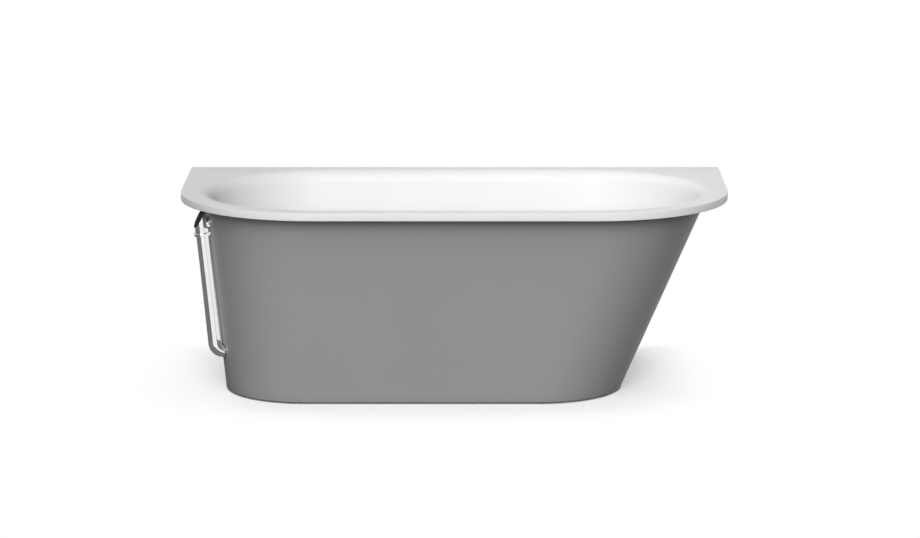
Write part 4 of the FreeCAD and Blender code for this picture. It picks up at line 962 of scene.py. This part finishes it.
for end, rail_x in RAIL_X.items():
    sheet = moved(folded_sheet(strap, TIE_HALF_WIDTH), Matrix.Translation((rail_x, 0, 0)))
    tie = new_piece(f"strap_{end}", sheet, zinc_steel, f"skirt_tie_{end}")
    pierce(tie, at_ties[end], TIE_HOLE, RAIL_TOP - 0.001, tie_top + 0.001)
tie_bolts = joined(*[moved(tie_bolt, at_tie) for at_tie in at_ties.values()])
tie_nuts = joined(*[moved(tie_nut, at_tie) for at_tie in at_ties.values()])
new_piece("strap_bolts", tie_bolts, bright_zinc, "tie_bolts")
new_piece("strap_nuts", tie_nuts, bright_zinc, "tie_nuts")

# Waste body: injection moulded white polypropylene with rounded shoulders, stiffening
# webs under its lip and a slip socket for the overflow's return pipe. The flange's tail
# screws into it and pulls it up under the basin's floor.
WASTE_TOP = floor_under - 0.003
WASTE_FLOOR = 0.112
WASTE_RADIUS = 0.033
WASTE_BORE = 0.029
WASTE_LIP = 0.041
WASTE_LIP_HEIGHT = 0.006
WASTE_FLOOR_WALL = 0.004
WASTE_WEBS = 8
WEB_HALF = 0.0011
SPIGOT_BORE = 0.017
SPIGOT_RADIUS = 0.020
SPIGOT_END = 0.098
TAIL_END = 0.1385
TAIL_SEAT = 0.02715
PORT_OUTER = 0.02365
PORT_BORE = 0.02015
PORT_END = 0.079
PORT_STOP = 0.041
plastic_white, place, feed = new_finish("plastic_white", IOR=1.47)
flow = place.noise(28.0, 3.0)
feed(
    Base_Color=flow.blend((0.74, 0.74, 0.72), (0.80, 0.80, 0.785)),
    Roughness=0.36 + flow * 0.16,
    Normal=place.noise(1100.0, 2.0).bump(0.12, 0.0002),
)
at_waste = Matrix.Translation((DRAIN.x, DRAIN.y, 0))
waste_profile = softened(
    [
        (TAIL_SEAT, WASTE_TOP),
        (TAIL_SEAT, TAIL_END),
        (WASTE_BORE, TAIL_END),
        (WASTE_BORE, WASTE_FLOOR + WASTE_FLOOR_WALL),
        (SPIGOT_BORE, WASTE_FLOOR + WASTE_FLOOR_WALL),
        (SPIGOT_BORE, SPIGOT_END),
        (SPIGOT_RADIUS, SPIGOT_END),
        (SPIGOT_RADIUS, WASTE_FLOOR),
        (WASTE_RADIUS, WASTE_FLOOR),
        (WASTE_RADIUS, WASTE_TOP - WASTE_LIP_HEIGHT),
        (WASTE_LIP, WASTE_TOP - WASTE_LIP_HEIGHT),
        (WASTE_LIP, WASTE_TOP),
    ],
    0.0022,
)
socket_profile = softened(
    [
        (PORT_BORE, PORT_STOP),
        (PORT_OUTER, WASTE_RADIUS - 0.008),
        (PORT_OUTER, PORT_END),
        (PORT_BORE, PORT_END),
    ],
    0.0008,
)
shoulder_profile = softened(
    [
        (PORT_OUTER - 0.002, WASTE_RADIUS - 0.006),
        (PORT_OUTER + 0.005, WASTE_RADIUS - 0.006),
        (PORT_OUTER + 0.0002, WASTE_RADIUS + 0.004),
        (PORT_OUTER - 0.002, WASTE_RADIUS + 0.004),
    ],
    0.002,
)
web = eased_outline(
    [
        (WASTE_RADIUS - 0.002, 0.1385, 0.0004),
        (WASTE_RADIUS + 0.0062, 0.1585, 0.0012),
        (WASTE_RADIUS + 0.0062, 0.1608, 0.0004),
        (WASTE_RADIUS - 0.002, 0.1608, 0.0004),
    ]
)
housing = joined(
    moved(lathe(waste_profile, 72), at_waste),
    moved(lathe(socket_profile, 64), on_leg),
    moved(lathe(shoulder_profile, 64), on_leg),
    moved(joined(*spokes(web, WEB_HALF, WASTE_WEBS, 0.5)), at_waste),
)
new_piece("waste_housing", housing, plastic_white, "waste_body")

# Trap: a bottle trap moulded from the same plastic, with a cup that screws off, a slip
# socket for the outlet pipe, and nuts with finger grips on each joint, the port's too.
TRAP_RADIUS = 0.046
TRAP_WALL = 0.003
TRAP_TOP = 0.089
TRAP_LOWER = 0.030
DIP_BORE = 0.016
DIP_RADIUS = 0.019
DIP_END = 0.038
INLET_RADIUS = 0.022
INLET_HEIGHT = 0.005
OUTLET_HEIGHT = 0.062
OUTLET_END = 0.084
OUTLET_STOP = 0.054
CUP_RADIUS = 0.050
CUP_LOW = 0.014
CUP_FLOOR = 0.017
CUP_SEAT = 0.028
CUP_TOP = 0.037
NUT_BORE = 0.0238
NUT_RADIUS = 0.0288
NUT_HALF = 0.011
NUT_SHOULDER = 0.007
UNION_BORE = 0.0225
UNION_RADIUS = 0.030
UNION_GAP = 0.0005
FLUTE_BAND = 0.003
FLUTE_FADE = 0.002
on_outlet = (
    Matrix.Translation((DRAIN.x, DRAIN.y, OUTLET_HEIGHT))
    @ Matrix.Rotation(RIGHT_ANGLE, 4, "Z")
    @ Matrix.Rotation(RIGHT_ANGLE, 4, "Y")
)


def fluted(profile, outer, grips=10, depth=0.0015, steps=120):
    """A turned piece whose outermost wall is fluted for the fingers."""
    points, faces = lathe(profile, steps)
    eased = []
    for point in points:
        radius = point.xy.length
        turn = math.atan2(point.y, point.x)
        dip = max(0.0, math.cos(grips * turn)) ** 2
        share = min(1.0, max(0.0, (radius - outer + FLUTE_BAND) / FLUTE_FADE))
        scale = (radius - depth * dip * share) / max(radius, 1e-6)
        eased.append(Vector((point.x * scale, point.y * scale, point.z)))
    return eased, faces


trap_profile = softened(
    [
        (DIP_BORE, DIP_END),
        (DIP_RADIUS, DIP_END),
        (DIP_RADIUS, TRAP_TOP - TRAP_WALL),
        (TRAP_RADIUS - TRAP_WALL, TRAP_TOP - TRAP_WALL),
        (TRAP_RADIUS - TRAP_WALL, TRAP_LOWER),
        (TRAP_RADIUS, TRAP_LOWER),
        (TRAP_RADIUS, TRAP_TOP),
        (INLET_RADIUS, TRAP_TOP),
        (INLET_RADIUS, TRAP_TOP + INLET_HEIGHT),
        (DIP_BORE, TRAP_TOP + INLET_HEIGHT),
    ],
    0.006,
    6,
)
outlet_profile = softened(
    [
        (PORT_BORE, OUTLET_STOP),
        (PORT_OUTER, 0.036),
        (PORT_OUTER, OUTLET_END),
        (PORT_BORE, OUTLET_END),
    ],
    0.0008,
)
trap = joined(
    moved(lathe(trap_profile, 84), at_waste),
    moved(lathe(outlet_profile, 64), on_outlet),
)
new_piece("trap_housing", trap, plastic_white, "trap_body")
cup_profile = softened(
    [
        (AXIS_RADIUS, CUP_LOW),
        (CUP_RADIUS, CUP_LOW),
        (CUP_RADIUS, CUP_TOP),
        (TRAP_RADIUS + SLIDING_FIT, CUP_TOP),
        (TRAP_RADIUS + SLIDING_FIT, CUP_SEAT),
        (TRAP_RADIUS - TRAP_WALL, CUP_SEAT),
        (TRAP_RADIUS - TRAP_WALL, CUP_FLOOR),
        (AXIS_RADIUS, CUP_FLOOR),
    ],
    0.003,
    5,
)
cup = moved(fluted(cup_profile, CUP_RADIUS, 24, 0.0012, 192), at_waste)
new_piece("trap_bowl", cup, plastic_white, "trap_cup")
for run, end, matrix in (("port", PORT_END, on_leg), ("outlet", OUTLET_END, on_outlet)):
    nut_profile = softened(
        [
            (NUT_BORE, end - NUT_HALF),
            (NUT_RADIUS, end - NUT_HALF),
            (NUT_RADIUS, end + NUT_HALF),
            (PORT_BORE, end + NUT_HALF),
            (PORT_BORE, end + NUT_SHOULDER),
            (NUT_BORE, end + NUT_SHOULDER),
        ],
        0.0016,
    )
    nut = moved(fluted(nut_profile, NUT_RADIUS), matrix)
    new_piece(f"{run}_slip_nut", nut, plastic_white, f"{run}_nut")
union_profile = softened(
    [
        (UNION_BORE, TRAP_TOP + UNION_GAP),
        (UNION_RADIUS, TRAP_TOP + UNION_GAP),
        (UNION_RADIUS, WASTE_FLOOR - UNION_GAP),
        (SPIGOT_RADIUS + SLIDING_FIT, WASTE_FLOOR - UNION_GAP),
        (SPIGOT_RADIUS + SLIDING_FIT, SPIGOT_END + UNION_GAP),
        (UNION_BORE, SPIGOT_END + UNION_GAP),
    ],
    0.0016,
)
union = moved(fluted(union_profile, UNION_RADIUS), at_waste)
new_piece("trap_union", union, plastic_white, "trap_nut")

# Pipes: extruded white plastic, cut square and chamfered, 40 mm across as the tube is.
# The outlet carries a ring scored at its push-in depth.
PIPE_BORE = 0.018
PIPE_END = 0.400
PIPE_MARK = 0.350
PIPE_SCORE = 0.0004
LEG_INNER = 0.336008
outlet_pipe_profile = [
    (PIPE_BORE, OUTLET_STOP),
    (TUBE_RADIUS, OUTLET_STOP),
    (TUBE_RADIUS, PIPE_MARK - 0.002),
    (TUBE_RADIUS - PIPE_SCORE, PIPE_MARK - 0.0016),
    (TUBE_RADIUS - PIPE_SCORE, PIPE_MARK - 0.0004),
    (TUBE_RADIUS, PIPE_MARK),
    (TUBE_RADIUS, PIPE_END - 0.0022),
    (TUBE_RADIUS - 0.0008, PIPE_END - 0.0002),
    (TUBE_RADIUS - 0.0011, PIPE_END),
    (PIPE_BORE, PIPE_END),
]
outlet_run = moved(lathe(outlet_pipe_profile, 72), on_outlet)
new_piece("outlet_run", outlet_run, plastic_white, "outlet_pipe")
return_profile = softened(ring_outline(PIPE_BORE, TUBE_RADIUS, PORT_STOP, LEG_INNER - 0.004), 0.0006)
return_run = moved(lathe(return_profile, 72), on_leg)
new_piece("return_run", return_run, plastic_white, "return_pipe")

# Coupling: a ribbed rubber sleeve over the tube's leg and the return pipe, held by two
# worm drive clamps of zinc plated strip, each with its screw housing on top.
COUPLING_LOW = 0.301008
COUPLING_HIGH = 0.367008
COUPLING_OUTER = 0.02515
COUPLING_RIBS = (0.3045, 0.3605)
RIB_WIDTH = 0.003
RIB_HEIGHT = 0.0009
CLAMP_INSET = 0.008
CLAMP_WIDTH = 0.009
CLAMP_THICKNESS = 0.0012
SADDLE_INSET = 0.0006
SADDLE_HALF = 0.0075
WORM_RADIUS = 0.0022
WORM_PITCH = 0.0012
WORM_END = 0.009
sleeve_profile = ring_outline(PORT_BORE, COUPLING_OUTER, COUPLING_LOW, COUPLING_HIGH)
sleeve_parts = [lathe(softened(sleeve_profile, 0.0015), 72)]
for low in COUPLING_RIBS:
    rib_profile = [
        (COUPLING_OUTER - 0.001, low),
        (COUPLING_OUTER + RIB_HEIGHT, low + RIB_WIDTH * 0.2),
        (COUPLING_OUTER + RIB_HEIGHT, low + RIB_WIDTH * 0.8),
        (COUPLING_OUTER - 0.001, low + RIB_WIDTH),
    ]
    sleeve_parts.append(lathe(softened(rib_profile, 0.0005), 64))
sleeve = moved(joined(*sleeve_parts), on_leg)
new_piece("coupling_rubber", sleeve, rubber_black, "coupling_sleeve")
clamp_parts = []
saddle_x = -COUPLING_OUTER - CLAMP_THICKNESS
for low in (COUPLING_LOW + CLAMP_INSET, COUPLING_HIGH - CLAMP_INSET - CLAMP_WIDTH):
    high = low + CLAMP_WIDTH
    band_profile = ring_outline(COUPLING_OUTER, COUPLING_OUTER + CLAMP_THICKNESS, low, high)
    clamp_parts.append(lathe(softened(band_profile, 0.0004), 96))
    saddle = eased_outline(
        [
            (low + SADDLE_INSET, saddle_x - 0.0052, 0.002),
            (high - SADDLE_INSET, saddle_x - 0.0052, 0.002),
            (high - SADDLE_INSET, saddle_x + 0.001, 0.0003),
            (low + SADDLE_INSET, saddle_x + 0.001, 0.0003),
        ]
    )
    points, faces = folded_sheet(saddle, SADDLE_HALF)
    clamp_parts.append(([Vector((point.z, point.x, point.y)) for point in points], faces))
    at_worm = Matrix.Translation((saddle_x - WORM_RADIUS, 0, (low + high) / 2))
    on_worm = at_worm @ Matrix.Rotation(RIGHT_ANGLE, 4, "X")
    clamp_parts.append(moved(threaded(WORM_RADIUS, WORM_PITCH, -0.0095, WORM_END, 16), on_worm))
    clamp_parts.append(moved(hexagon(0.0037, WORM_END, WORM_END + 0.0038), on_worm))
clamps = moved(joined(*clamp_parts), on_leg)
new_piece("sleeve_clamps", clamps, bright_zinc, "coupling_clamps")

# Waste flange and plug: a chrome plated brass flange with a four arm spider, closed by
# a push-open plug whose cap is slightly domed. Stem and cartridge are turned brass.
FLANGE_TOP = 0.181
FLANGE_UNDER = 0.1785
FLANGE_RADIUS = 0.040
TAIL_RADIUS = 0.027
TAIL_BORE = 0.023
HUB_TOP = 0.161
HUB_LOW = 0.153
HUB_RADIUS = 0.014
HUB_BORE = 0.01115
ARM_HALF = 0.0025
ARM_EASE = 0.0006
PLUG_RADIUS = 0.030
PLUG_UNDER = 0.1833
PLUG_TOP = 0.1883
PLUG_EASE = 0.0008
PLUG_ROUND = 0.003
DOME_RADIUS = PLUG_RADIUS - 0.0026
DOME_RISE = 0.00065
DOME_STEPS = 12
flange_profile = softened(
    [
        (TAIL_BORE, TAIL_END),
        (TAIL_RADIUS, TAIL_END),
        (TAIL_RADIUS, FLANGE_UNDER),
        (FLANGE_RADIUS, FLANGE_UNDER),
        (FLANGE_RADIUS, FLANGE_TOP),
        (TAIL_BORE, FLANGE_TOP),
    ],
    0.0013,
)
hub_profile = softened(ring_outline(HUB_BORE, HUB_RADIUS, HUB_LOW, HUB_TOP), 0.0008)
arm_outline = ring_outline(HUB_RADIUS - 0.001, TAIL_BORE + 0.001, HUB_LOW, HUB_TOP)
arm = eased_outline([(*corner, ARM_EASE) for corner in arm_outline])
flange = joined(lathe(flange_profile, 96), lathe(hub_profile, 48), *spokes(arm, ARM_HALF, 4))
new_piece("drain_flange", moved(flange, at_waste), chrome, "waste_flange")
plug_profile = [
    (AXIS_RADIUS, PLUG_UNDER),
    (PLUG_RADIUS - PLUG_EASE, PLUG_UNDER),
    (PLUG_RADIUS, PLUG_UNDER + PLUG_EASE),
]
for step in range(9):
    angle = math.radians(80 * step / 8)
    reach = PLUG_RADIUS - PLUG_ROUND + PLUG_ROUND * math.cos(angle)
    plug_profile.append((reach, PLUG_TOP - 0.0036 + PLUG_ROUND * math.sin(angle)))
for step in range(1, DOME_STEPS + 1):
    share = 1 - step / DOME_STEPS
    plug_profile.append((max(AXIS_RADIUS, DOME_RADIUS * share), PLUG_TOP - DOME_RISE * share**2))
plug = moved(lathe(plug_profile, 96), at_waste)
new_piece("plug_dome", plug, chrome, "plug_cap", "plug")
finish_nodes(("plug_stem", "plug_cartridge"), brass)
finish_nodes(("plug_spring",), bright_zinc)

# Overflow rosette: a pressed chrome plate that stands off the well's end wall, so that
# the water runs in behind it. A white spacer holds the two walls apart around the stub.
ROSETTE_RADIUS = 0.033
ROSETTE_ROUND = 0.0026
ROSETTE_RISE = 0.0007
ROSETTE_EASE = 0.0003
PLATE_OUT = -(STUB_END + 0.008)
PLATE_IN = PLATE_OUT - 0.004
PRONG_RADIUS = 0.01385
PRONG_WALL = 0.003
PRONG_END = -STUB_END + 0.014
PRONG_SPREAD = math.radians(26)
PRONG_STEPS = 12
ROUND_STEPS = 7
crown = ROSETTE_RADIUS - ROSETTE_ROUND
rosette_profile = [(AXIS_RADIUS, PLATE_IN)]
for step in range(1, DOME_STEPS + 1):
    share = step / DOME_STEPS
    rosette_profile.append((crown * share, PLATE_IN + ROSETTE_RISE * share**2))
for step in range(1, ROUND_STEPS + 1):
    angle = math.radians(90 * step / ROUND_STEPS)
    drop = ROSETTE_RISE + ROSETTE_ROUND - ROSETTE_ROUND * math.cos(angle)
    rosette_profile.append((crown + ROSETTE_ROUND * math.sin(angle), PLATE_IN + drop))
rosette_profile += [
    (ROSETTE_RADIUS, PLATE_OUT - ROSETTE_EASE),
    (ROSETTE_RADIUS - ROSETTE_EASE, PLATE_OUT),
    (AXIS_RADIUS, PLATE_OUT),
]
rosette_parts = [lathe(rosette_profile, 96)]
prong_outline = ring_outline(PRONG_RADIUS - PRONG_WALL, PRONG_RADIUS, PLATE_OUT - 0.001, PRONG_END)
for step in range(4):
    middle = math.radians(90 * step + 45)
    turns = [middle + PRONG_SPREAD * (2 * part / PRONG_STEPS - 1) for part in range(PRONG_STEPS + 1)]
    arcs = []
    for radius, height in prong_outline:
        arcs.append([Vector((radius * math.cos(a), radius * math.sin(a), height)) for a in turns])
    prong_points, prong_faces = skin(arcs, closed=False, looped=True)
    firsts = [row * len(turns) for row in range(len(arcs))]
    prong_faces.append(tuple(firsts))
    prong_faces.append(tuple(first + PRONG_STEPS for first in reversed(firsts)))
    rosette_parts.append((prong_points, prong_faces))
rosette = moved(joined(*rosette_parts), on_stub)
new_piece("overflow_plate", rosette, chrome, "overflow_rosette")
finish_nodes(("overflow_clamp_ring",), chrome)
finish_nodes(("overflow_spacer",), plastic_white)

# Wall brackets: galvanised angles under the rim's back edge, held by pan head screws
# from below and waiting for two wall screws each.
BRACKET_X = {"left": -0.420, "right": 0.420}
BRACKET_HALF = 0.060
BRACKET_DEPTH = 0.050
BRACKET_DROP = 0.055
BRACKET_GAUGE = 0.003
BRACKET_HOLES = 0.035
BRACKET_HOLE = 0.00425
BRACKET_HOLE_Z = RIM_UNDER - 0.032
BRACKET_SCREW_Y = RIM_HALF_DEPTH - BRACKET_DEPTH + 0.022
PAN_SCREW_RADIUS = 0.003
PAN_SCREW_PITCH = 0.0014
PAN_SCREW_HOLE = 0.0035
plate_under = RIM_UNDER - BRACKET_GAUGE
angle_outline = eased_outline(
    [
        (RIM_HALF_DEPTH - BRACKET_DEPTH, RIM_UNDER, CUT_EDGE),
        (RIM_HALF_DEPTH - BRACKET_DEPTH, plate_under, CUT_EDGE),
        (RIM_HALF_DEPTH - BRACKET_GAUGE, plate_under, BEND_INSIDE),
        (RIM_HALF_DEPTH - BRACKET_GAUGE, RIM_UNDER - BRACKET_DROP, CUT_EDGE),
        (RIM_HALF_DEPTH, RIM_UNDER - BRACKET_DROP, CUT_EDGE),
        (RIM_HALF_DEPTH, RIM_UNDER, BEND_OUTSIDE),
    ]
)
pan_profile = [(AXIS_RADIUS, plate_under)]
for step in range(7):
    turn = math.radians(90 * step / 6)
    pan_profile.append((0.0036 + 0.0024 * math.cos(turn), plate_under - 0.0011 - 0.0022 * math.sin(turn)))
pan_profile += [
    (0.0018, plate_under - 0.0034),
    (0.0014, plate_under - 0.0018),
    (AXIS_RADIUS, plate_under - 0.0016),
]
pan_screw = joined(
    lathe(pan_profile, 40),
    threaded(PAN_SCREW_RADIUS, PAN_SCREW_PITCH, plate_under - THREAD_OVERLAP, RIM_UNDER + 0.0125),
)
screw_parts = []
for end, bracket_x in BRACKET_X.items():
    plate = moved(folded_sheet(angle_outline, BRACKET_HALF), Matrix.Translation((bracket_x, 0, 0)))
    bracket = new_piece(f"wall_angle_{end}", plate, zinc_steel, f"wall_bracket_{end}")
    for hole_x in (bracket_x - BRACKET_HOLES, bracket_x + BRACKET_HOLES):
        at_wall = Matrix.Translation((hole_x, RIM_HALF_DEPTH, BRACKET_HOLE_Z))
        to_wall = at_wall @ Matrix.Rotation(RIGHT_ANGLE, 4, "X")
        pierce(bracket, to_wall, BRACKET_HOLE, -0.001, BRACKET_GAUGE + 0.001)
        at_screw = Matrix.Translation((hole_x, BRACKET_SCREW_Y, 0))
        pierce(bracket, at_screw, PAN_SCREW_HOLE, plate_under - 0.001, RIM_UNDER + 0.001)
        screw_parts.append(moved(pan_screw, at_screw))
new_piece("angle_screws", joined(*screw_parts), bright_zinc, "bracket_screws")

# Floor and surround: a pale floor on which the tub's shadow fades into white. The glow
# is for the camera and for mirrors, so that it lights nothing else.
FLOOR_GLOW = 0.285
FLOOR_SPREAD = (0.0, 0.01, 0.03, 0.06, 0.10, 0.15, 0.22, 0.32, 0.5, 1.0, 3.0, 12.0)
FLOOR_LOOK = {"Roughness": 0.9, "Specular_IOR_Level": 0.0, "Emission_Strength": 1.0}
AMBIENT = 0.03


def stage_sheet(name, part, finish):
    sheet = new_object(name, part)
    sheet.data.materials.append(finish)
    return sheet


def shown(field):
    """1 on rays from the camera, a mirror or glass, and 0 on those that light other things."""
    kinds = ("Camera", "Glossy", "Transmission")
    rays = [field.node("ShaderNodeLightPath", output=f"Is {kind} Ray") for kind in kinds]
    return field.maths("MAXIMUM", rays[0], field.maths("MAXIMUM", rays[1], rays[2]))


def glow(place, tone):
    return place.node("ShaderNodeEmission", None, {"Color": (tone, tone, tone, 1.0), "Strength": 1.0})


def show_as(finish, shader):
    """Send a shader to a material's surface in place of the plain one."""
    tree = finish.node_tree
    tree.links.new(shader.socket, tree.nodes["Material Output"].inputs["Surface"])


footprint = level_ring(skirt_ring(SKIRT_BASE, 0.0), 0.0)
middle = Vector((-0.1, 0.06, 0.0))
floor_rings = []
for spread in FLOOR_SPREAD:
    floor_rings.append([spot + (spot - middle).normalized() * spread for spot in footprint])
floor_white, place, feed = new_finish("floor_white", **FLOOR_LOOK)
seen = shown(place)
feed(
    Base_Color=seen.blend((0.10,) * 3, (0.80,) * 3),
    Emission_Color=seen.blend((0.0,) * 3, (FLOOR_GLOW,) * 3),
)
away = place.node("ShaderNodeAttribute", {"attribute_name": "away"}, output="Fac")
clear = away.smooth_step(-0.05, 0.32)
lit = Field(place.tree, place.tree.nodes["Principled BSDF"].outputs[0])
fading = {0: clear * seen, 1: lit, 2: glow(place, 1.0)}
show_as(floor_white, place.node("ShaderNodeMixShader", None, fading))
floor = stage_sheet("floor", skin(floor_rings), floor_white)
from_tub = floor.data.attributes.new("away", "FLOAT", "POINT")
for index in range(len(floor.data.vertices)):
    from_tub.data[index].value = FLOOR_SPREAD[index // len(footprint)]
floor_shade, place, feed = new_finish("floor_shade", **FLOOR_LOOK)
depth = place.node("ShaderNodeSeparateXYZ", None, {0: place}, output="Y")
rear = depth.smooth_step(-0.20, SKIRT_BACK)
feed(
    Base_Color=place.noise(20.0).blend((0.70,) * 3, (0.74,) * 3),
    Emission_Color=(shown(place) * rear).blend((0.0,) * 3, (FLOOR_GLOW,) * 3),
)
stage_sheet("floor_under_tub", (footprint, [tuple(range(len(footprint)))]), floor_shade)
world = bpy.data.worlds.new("surround")
bpy.context.scene.world = world
world.use_nodes = True
background = world.node_tree.nodes["Background"]
background.inputs["Color"].default_value = (1.0, 1.0, 1.0, 1.0)
strength = AMBIENT + shown(Field(world.node_tree)) * (1 - AMBIENT)
world.node_tree.links.new(strength.socket, background.inputs["Strength"])

# Lamps: wide suns for an even studio light. Each has its direction around the tub, from
# the front toward its left, its height in degrees and its strength.
LAMPS = {
    "front": (2, 24, 2.45),
    "front_high": (6, 56, 0.76),
    "back": (150, 46, 0.40),
}
LAMP_WIDTH = math.radians(36)
for name, (around, height, strength) in LAMPS.items():
    lamp = bpy.data.lights.new(name, "SUN")
    lamp.energy = strength
    lamp.angle = LAMP_WIDTH
    bulb = bpy.data.objects.new(name, lamp)
    turn, lift = math.radians(around), math.radians(height)
    toward = Vector((-math.sin(turn) * math.cos(lift), -math.cos(turn) * math.cos(lift), math.sin(lift)))
    bulb.rotation_euler = toward.to_track_quat("Z", "Y").to_euler()
    bulb.location = toward * 4
    bpy.context.scene.collection.objects.link(bulb)

# Softboxes: where each stands, where it looks, its size, power and spread in degrees. The
# low ones fill the sides and back under the rim, and the one overhead looks across into
# the well's sloping end.
SOFTBOXES = {
    "low_left": ((-1.3, 2.1, 0.35), (-0.5, 0.1, 0.3), (1.4, 0.5), 18.0, 180),
    "low_right": ((2.0, 1.9, 0.35), (0.6, 0.1, 0.3), (1.4, 0.5), 18.0, 180),
    "over_left": ((-0.9, 0.0, 3.6), (0.80, 0.0, 0.5), (0.9, 0.9), 3.8, 60),
}
for name, (stand, aim, size, power, spread) in SOFTBOXES.items():
    lamp = bpy.data.lights.new(name, "AREA")
    lamp.shape = "RECTANGLE"
    lamp.size, lamp.size_y = size
    lamp.energy = power
    lamp.spread = math.radians(spread)
    box = bpy.data.objects.new(name, lamp)
    box.location = stand
    box.rotation_euler = (Vector(aim) - Vector(stand)).to_track_quat("-Z", "Y").to_euler()
    box.visible_camera = False
    box.visible_glossy = False
    bpy.context.scene.collection.objects.link(box)

# Reflection cards: grey boards at the left and on the floor, and a white strip along the
# skirt beside the tube, seen from outside alone. They neither light nor shade anything:
# only polished metal and lacquer mirror them.
CARDS = {
    "card_left": [(-1.95, -0.75, 0.0), (-2.05, 0.60, 0.0), (-2.05, 0.60, 1.6), (-1.95, -0.75, 1.6)],
    "card_left_front": [(-1.30, -1.65, 0.0), (-1.95, -0.75, 0.0), (-1.95, -0.75, 1.6), (-1.30, -1.65, 1.6)],
    "card_floor": [
        (-0.715, 0.42, 0.001),
        (-0.715, -0.06, 0.001),
        (-0.6, -0.3, 0.001),
        (-0.6, -0.42, 0.001),
        (-0.9, -0.5, 0.001),
        (-1.3, -1.65, 0.001),
        (-1.95, -0.75, 0.001),
        (-2.05, 0.6, 0.001),
    ],
}
CARD_GREY = 0.19
CARD_WHITE = 0.95
STRIP_HEIGHTS = (0.165, 0.520)
STRIP_STATIONS = slice(31, 42)
STRIP_CLEARANCE = 0.0015
card_grey, place, feed = new_finish("card_grey")
show_as(card_grey, glow(place, CARD_GREY))
cards = []
for name, corners in CARDS.items():
    cards.append(stage_sheet(name, (corners, [tuple(range(len(corners)))]), card_grey))
card_white, place, feed = new_finish("card_white")
skirt_side = place.node("ShaderNodeNewGeometry", output="Backfacing")
one_sided = {0: skirt_side, 1: glow(place, CARD_WHITE), 2: place.node("ShaderNodeBsdfTransparent")}
show_as(card_white, place.node("ShaderNodeMixShader", None, one_sided))
strip_rows = [skirt_ring(height, -STRIP_CLEARANCE)[STRIP_STATIONS] for height in STRIP_HEIGHTS]
cards.append(stage_sheet("card_beside_tube", skin(strip_rows, closed=False), card_white))
for card in cards:
    card.visible_camera = False
    card.visible_diffuse = False
    card.visible_shadow = False

# Camera: a long lens far in front of the tub, level across and tipped down a little, so
# that the deck and the well's back wall show over the rim.
CAMERA_DIP = 11.08
camera_data = bpy.data.cameras.new("camera")
camera_data.lens = 141.2
camera_data.sensor_width = 36.0
camera_data.shift_x = -0.0155
camera_data.clip_end = 100.0
camera = bpy.data.objects.new("camera", camera_data)
camera.location = (0.062, -11.073, 2.531)
camera.rotation_euler = (math.radians(90 - CAMERA_DIP), 0.0, 0.0)
bpy.context.scene.collection.objects.link(camera)
bpy.context.scene.camera = camera
bpy.context.scene.view_settings.view_transform = "Standard"
